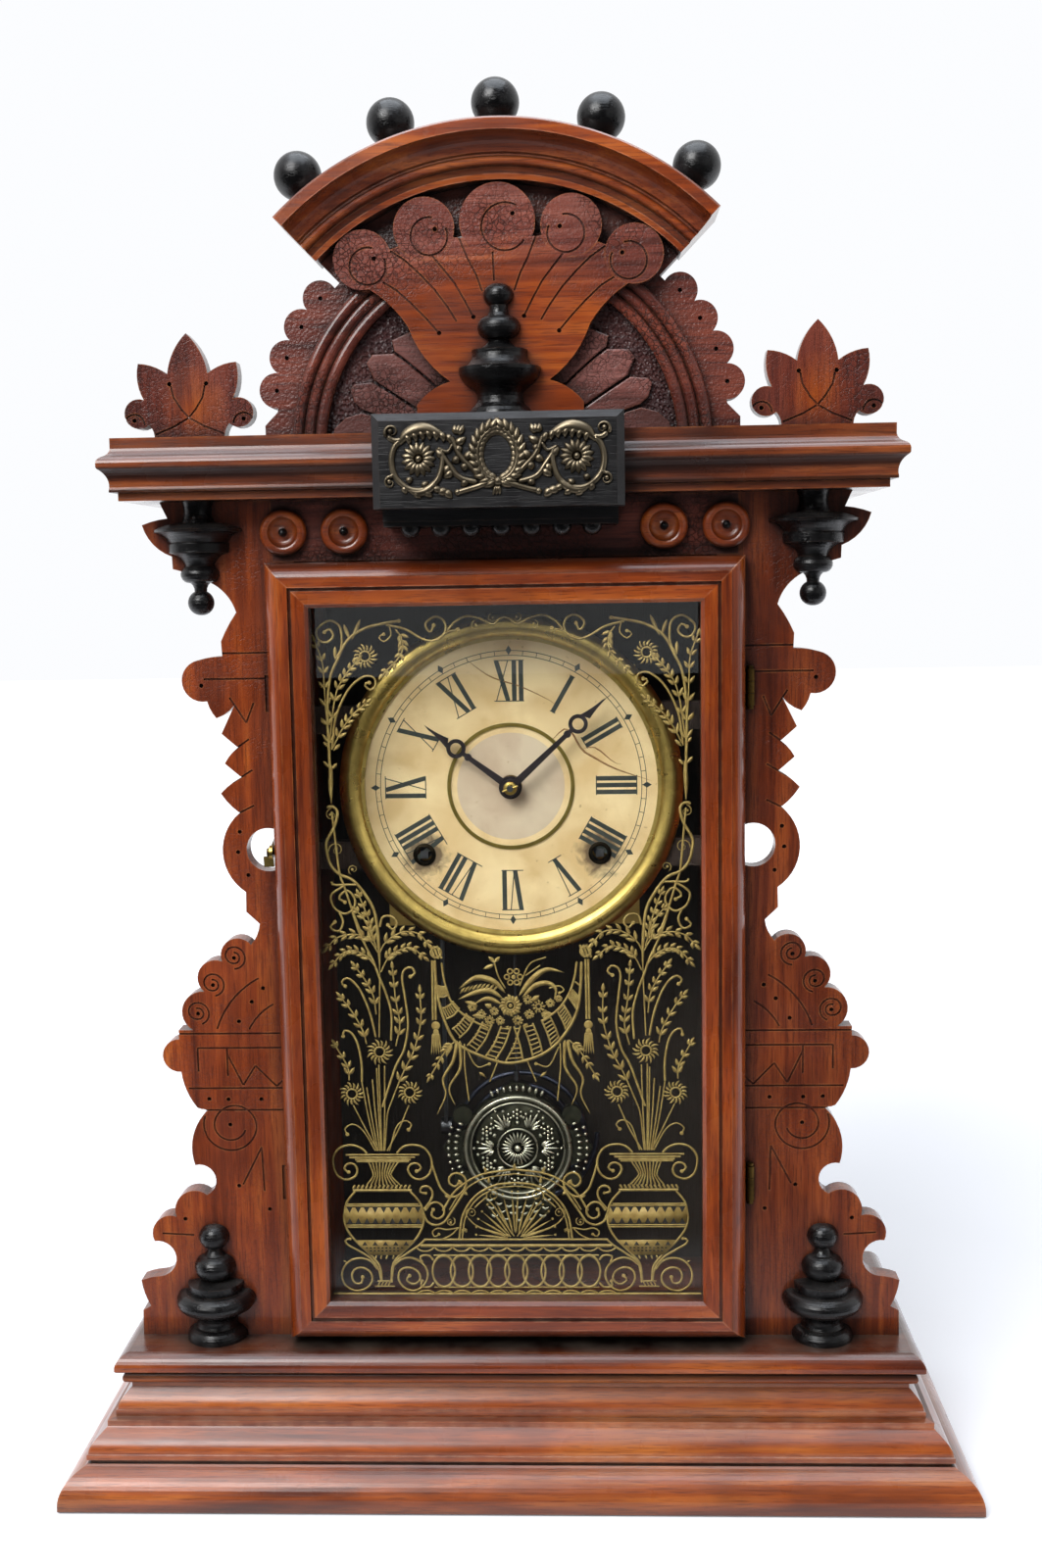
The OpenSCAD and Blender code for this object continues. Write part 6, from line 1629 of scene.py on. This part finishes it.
        brush.sunflower((-0.5, 210), 1.9, 5.2, 16, 0.95)
        brush.bead((-0.5, 210), 0.9)
        blooms = ((7, 212.5, 2.4), (11.5, 209.5, 3.2), (7.5, 206.2, 2.4), (2.5, 203.5, 2.6),
                  (14.5, 206, 2.2), (-5, 203.5, 2.2), (-9.5, 203.6, 2.5), (-7.5, 207.6, 2.2),
                  (-13, 206.2, 2.4), (-16.8, 209.4, 2.2), (16.5, 211, 2.2), (20, 213, 1.8))
        for x, z, size in blooms:
            brush.sunflower((x, z), size * 0.36, size, 9, 0.62)
        for tip in ((-20, 212), (-17, 205.8), (-2, 199.8), (7, 200.8), (17.5, 206.5), (-11.5, 210.8),
                    (12, 214.5)):
            middle = (tip[0] * 0.72, 205 + (tip[1] - 205) * 0.72)
            brush.stroke([middle, tip], 1.2, Tip.LEAF)
        brush.stroke([(-2.5, 215.5), (-7.5, 220.6), (-15, 222.3), (-22.5, 217.4)], 1.3, Tip.LEAF)
        for step in range(9):
            foot = (-5.5 - 1.75 * step, 219 + 0.9 * math.sin(step * 0.5))
            brush.stroke([foot, (foot[0] - 2.6, foot[1] - 3.0)], 0.55, Tip.LEAF)
        brush.stroke([(3, 214), (8.5, 221), (15, 225.6), (22.8, 224.3)], 1.3, Tip.LEAF)
        brush.stroke([(4.5, 213.5), (10, 218.6), (15.5, 219.8), (19, 217), (18, 212)], 1.1, Tip.LEAF)
        brush.stroke([(-3.5, 213), (-9, 216.6), (-15, 216), (-23, 212.8)], 1.2, Tip.LEAF)
        brush.stroke([(-4, 210.5), (-10, 213.2), (-16, 211)], 1.0, Tip.LEAF)
        brush.curl([(16, 217.5), (20.5, 218.5), (22.5, 216.5), (20.5, 215.5)], fine, 0.7)
        brush.stroke([(-2.5, 217.5), (-5.5, 223), (-7, 229)], fine)
        brush.stroke([(3.5, 218.5), (8, 228), (15, 231)], fine)
        brush.stroke([(6, 223), (12.5, 227.5)], fine)
        brush.leaves((((-7, 228), (-12, 226)), ((-7, 229), (-4.5, 231.5)), ((-7, 229), (-9.5, 231.5))), 0.9)
        for index in range(6):
            angle = 2 * math.pi * index / 6
            brush.ring((1 + 2.8 * math.cos(angle), 222.5 + 2.8 * math.sin(angle)), 1.05, 0.36, 14)
        brush.bead((1, 222.5), 1.0)

    def _weave(self, brush: Brush) -> None:
        """Fills the basket with slanting ribs and the short bars between them."""
        ribs = []
        for index in range(21):
            angle = 188 + 8.2 * index
            slant = 9 if angle < 276 else -5
            inner = math.radians(angle + slant)
            outer = math.radians(angle - slant * 0.4)
            top = (-0.8 + 28.6 * math.cos(inner), 226 + 25 * math.sin(inner))
            foot = (-1 + 31 * math.cos(outer), 222 + 36.6 * math.sin(outer))
            brush.stroke([top, ((top[0] + foot[0]) / 2 + 0.6, (top[1] + foot[1]) / 2 - 0.6), foot], 0.42)
            ribs.append((Vector(top), Vector(foot)))
        for first, second in zip(ribs[::2], ribs[1::2]):
            for step in range(7):
                share = 0.08 + 0.14 * step
                brush.stroke([first[0].lerp(first[1], share), second[0].lerp(second[1], share)], self.hair,
                             Tip.SQUARE)

    def _ribbons(self, brush: Brush) -> None:
        """Draws the sprigs, ribbons and curls under the basket."""
        fine = self.fine
        for side in SIDES:
            brush.sprig(flipped(side, (24, 195), (28.5, 190.5), (35.5, 179)), 6, 4.2, 0.7)
            long = flipped(side, (23.5, 195), (25.5, 186), (30, 178), (29, 171), (33, 162))
            brush.stroke(long, 0.85, Tip.TAIL)
            brush.stroke(flipped(side, (22.5, 195), (22.5, 183), (27.4, 174), (25, 166)), 0.85, Tip.TAIL)
            brush.stroke(flipped(side, (20.5, 193.5), (20.5, 183), (19, 168)), fine)
            brush.curl(flipped(side, (20, 192), (15.5, 183.5), (10, 184.5)), fine, 0.8)
            brush.stroke(flipped(side, (14.5, 181), (11.5, 178.5)), 0.7, Tip.LEAF)
            brush.stroke(flipped(side, (6, 186.5), (10, 176.5)), fine)


@dataclass(frozen=True)
class BronzeMount:
    """The cast bronze on the plaque: a wreath between two scrolls with daisies."""

    face_y: float = -63.9
    relief: float = 1.9

    def build(self, bronze: Material) -> None:
        """Models the casting, which stands for the plain one of the model."""
        brush = Brush(self.face_y, self.relief, 8, 1.0)
        self._side(brush)
        brush.mirrored()
        self._wreath(brush)
        piece = make_piece(brush.mesh, "plaque_casting", "case", bronze)
        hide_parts("plaque_bronze_ornament")

    def _side(self, brush: Brush) -> None:
        """Models the left half: daisy, scroll, acanthus, hooks, vines and bud."""
        middle = Vector((-30.8, 437.5))
        for index in range(15):
            angle = 2 * math.pi * index / 15
            out = heading(angle)
            brush.stroke([middle + out * 1.2, middle + out * 7.3], 1.6, Tip.LEAF, 1.8)
        brush.bead(tuple(middle), 1.6, 2.4)
        ring = [(-21.8, 441.5), (-21.4, 436), (-23.5, 429.5), (-28.5, 425.8), (-34.5, 426), (-39.8, 430.5),
                (-41.4, 436.5)]
        ring += [(-40.2, 442), (-37.5, 445)]
        brush.stroke(ring, 1.3)
        brush.stroke([(-22.5, 431), (-26.5, 426.2), (-32, 424.6), (-38, 428.2)], 1.9, Tip.LEAF, 2.2)
        hooks = (
            ((-26, 426.5), (-21, 424.8)), ((-29, 425.4), (-25.4, 422.6)), ((-33, 425), (-30, 422.2)),
            ((-37, 427.6), (-35.8, 423.8)), ((-36, 428.6), (-33, 430.4)), ((-30, 426.4), (-27, 429)),
        )
        brush.leaves(hooks, 1.6, 2.0)
        brush.stroke([(-38.6, 442.6), (-34.8, 447.2), (-28.4, 449), (-22, 446.6), (-18, 443.4)], 2.8,
                     Tip.LEAF, 2.6)
        for step in range(7):
            x = -36 + 2.7 * step
            z = 447.2 + 1.6 * math.sin(0.55 * step)
            brush.stroke([(x, z), (x + 1.6, z - 2.4), (x + 1.4, z - 4.6)], 1.5, Tip.LEAF, 2.5)
        brush.stroke([(-37, 444.8), (-40.5, 444.8), (-42.8, 446.6)], 1.2)
        brush.scroll((-41, 448), 2.9, -130, -1.2, 1.0, 1.3)
        brush.scroll((-42, 428.6), 2.5, 60, 1.2, 0.9, 1.2)
        brush.stroke([(-40, 432), (-42.4, 430.6)], 0.9)
        brush.stroke([(-22.6, 440.4), (-18.5, 434.6), (-14.9, 430.2), (-7.8, 428)], 1.25)
        brush.stroke([(-18, 446), (-14.9, 438.8), (-10.8, 434.4), (-7, 430.4)], 1.2)
        brush.stroke([(-23.5, 441.6), (-19.4, 440), (-17.2, 443.2)], 0.85)
        vines = (
            ((-20.6, 437.4), (-24.2, 441.4)), ((-19, 435.4), (-20.6, 430.4)), ((-17, 432.8), (-21.6, 429.8)),
            ((-16.6, 442.6), (-11.8, 445.6)), ((-14.4, 438), (-18.2, 435.6)), ((-13, 436.6), (-9.4, 440.6)),
            ((-11.6, 429.2), (-14.6, 426.6)), ((-12.6, 436), (-13.2, 432)), ((-16.6, 440.8), (-13.2, 441.4)),
            ((-20.8, 425.6), (-17.8, 421.8)), ((-24, 425), (-18.6, 424.6)),
        )
        brush.leaves(vines, 1.9, 2.0)
        for lean in (-1.7, 0.0, 1.7):
            brush.stroke([(-15.6, 446.4), (-15 + lean * 0.8, 448.6), (-14.8 + lean, 450.6)], 1.5, Tip.LEAF,
                         2.2)
        brush.stroke([(-15.8, 424.4), (-8, 426.6), (-2, 428.6)], 1.25)
        brush.bead((-15.8, 424.4), 1.5, 1.9)

    def _wreath(self, brush: Brush) -> None:
        """Models the laurel wreath with its tie."""
        centre, wide, high = Vector((0.0, 438.6)), 7.8, 9.8
        for side in SIDES:
            rim = []
            for index in range(12):
                angle = math.radians(-84 + 14.2 * index)
                spot = centre + Vector((side * wide * math.cos(angle), high * math.sin(angle)))
                along = Vector((-side * wide * math.sin(angle), high * math.cos(angle))).normalized()
                out = Vector((side * math.cos(angle), math.sin(angle)))
                for share in (-0.62, 0.1, 0.8):
                    tip = spot + along * 4.6 + out * (4.4 * share)
                    brush.stroke([spot - along * 0.6, tip], 1.65, Tip.LEAF, 1.7 + 0.6 * share)
                rim.append(tuple(spot))
            brush.stroke(rim, 0.9)
        brush.bead((0, 428.4), 2.0, 2.6)
        brush.bead((-2.2, 428.8), 1.2, 2.0)
        brush.bead((2.2, 428.8), 1.2, 2.0)
        for lean in (-1.4, 0.0, 1.4):
            brush.stroke([(lean * 0.3, 427.4), (lean - 0.8, 422.8)], 0.95, Tip.LEAF, 1.8)


@dataclass(frozen=True)
class BobRelief:
    """The pressed ornament of the pendulum's bob."""

    centre: Spot = (0.0, 135.0)
    relief: float = 0.9
    stands_off: float = 0.4

    def build(self, nickel: Material) -> None:
        """Models the rosette, the ring of shells and the beaded rim on the face of the bob."""
        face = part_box("pendulum_bob")[0][1] / MM
        brush = Brush(face + self.stands_off, self.relief, 6)
        middle = Vector(self.centre)
        self._disc(brush, middle)
        self._frame(brush, middle)
        make_piece(brush.mesh, "bob_relief", "pendulum", nickel)

    def _disc(self, brush: Brush, middle: Vector) -> None:
        """Models what lies inside the rim: rosette, shells and bead clusters."""
        for index in range(24):
            out = self._out(index, 24)
            brush.stroke([middle + out * 2.0, middle + out * 8.0], 0.62, Tip.LEAF)
        brush.bead(tuple(middle), 1.7, 1.5)
        brush.ring(tuple(middle), 9.0, 0.5, 48)
        for index in range(6):
            out = self._out(index + 0.5, 6)
            side = Vector((-out.y, out.x))
            foot = middle + out * 9.8
            for lean in (-1.15, -0.75, -0.36, 0.0, 0.36, 0.75, 1.15):
                ray = (out + side * lean).normalized()
                size = 9.2 - 3.4 * abs(lean)
                brush.stroke([foot + ray, foot + ray * size], 0.72, Tip.LEAF)
                brush.bead(tuple(foot + ray * (size + 0.8)), 0.72, 0.8)
            edge = middle + self._out(index, 6) * 16
            for spoke in range(6):
                brush.bead(tuple(edge + self._out(spoke, 6) * 1.9), 0.8, 0.9)
            brush.bead(tuple(edge), 0.9, 1.2)
            brush.bead(tuple(middle + self._out(index, 6) * 12.0), 0.9, 1.0)
        brush.ring(tuple(middle), 21.2, 0.5, 72)

    def _frame(self, brush: Brush, middle: Vector) -> None:
        """Models the smooth rim, the beaded lugs, the crown's flutes and the apron's scales."""
        brush.ring(tuple(middle), 23.6, 1.2, 72)
        for side in SIDES:
            for step in range(9):
                angle = math.radians(-24 + 6 * step)
                out = Vector((side * math.cos(angle), math.sin(angle)))
                brush.stroke([middle + out * 26.6, middle + out * 29.6], 0.8, Tip.LEAF)
                if 1 <= step <= 7:
                    brush.bead(tuple(middle + out * 31.4), 0.85, 0.9)
        for step in range(9):
            angle = math.radians(66 + 6 * step)
            out = heading(angle)
            brush.stroke([middle + out * 26.2, middle + out * 29.8], 0.9, Tip.LEAF)
        for row, radius in enumerate((27.2, 30.2, 33.2)):
            count = 7 - row
            for step in range(count):
                angle = math.radians(-90 + 9.6 * (step - (count - 1) / 2))
                spot = middle + heading(angle) * radius
                brush.stroke([spot + Vector((-2.0, 0.5)), spot - Vector((0, 0.9)),
                              spot + Vector((2.0, 0.5))], 0.75, Tip.LEAF)

    def _out(self, index: float, count: int) -> Vector:
        """Gives the direction of one of several spokes."""
        angle = 2 * math.pi * index / count
        return Vector((math.sin(angle), math.cos(angle)))


def main() -> None:
    """Builds the studio and dresses the clock in order."""
    logging.basicConfig(level=logging.INFO, format="%(message)s")
    effects = Effects()
    Studio().build(effects)
    metals = Fittings().build(effects)
    Woodwork().build(effects)
    Dial().build(effects)
    GiltDoor().build(effects)
    BronzeMount().build(metals["bronze"])
    BobRelief().build(metals["nickel"])


if __name__ == "__main__":
    main()
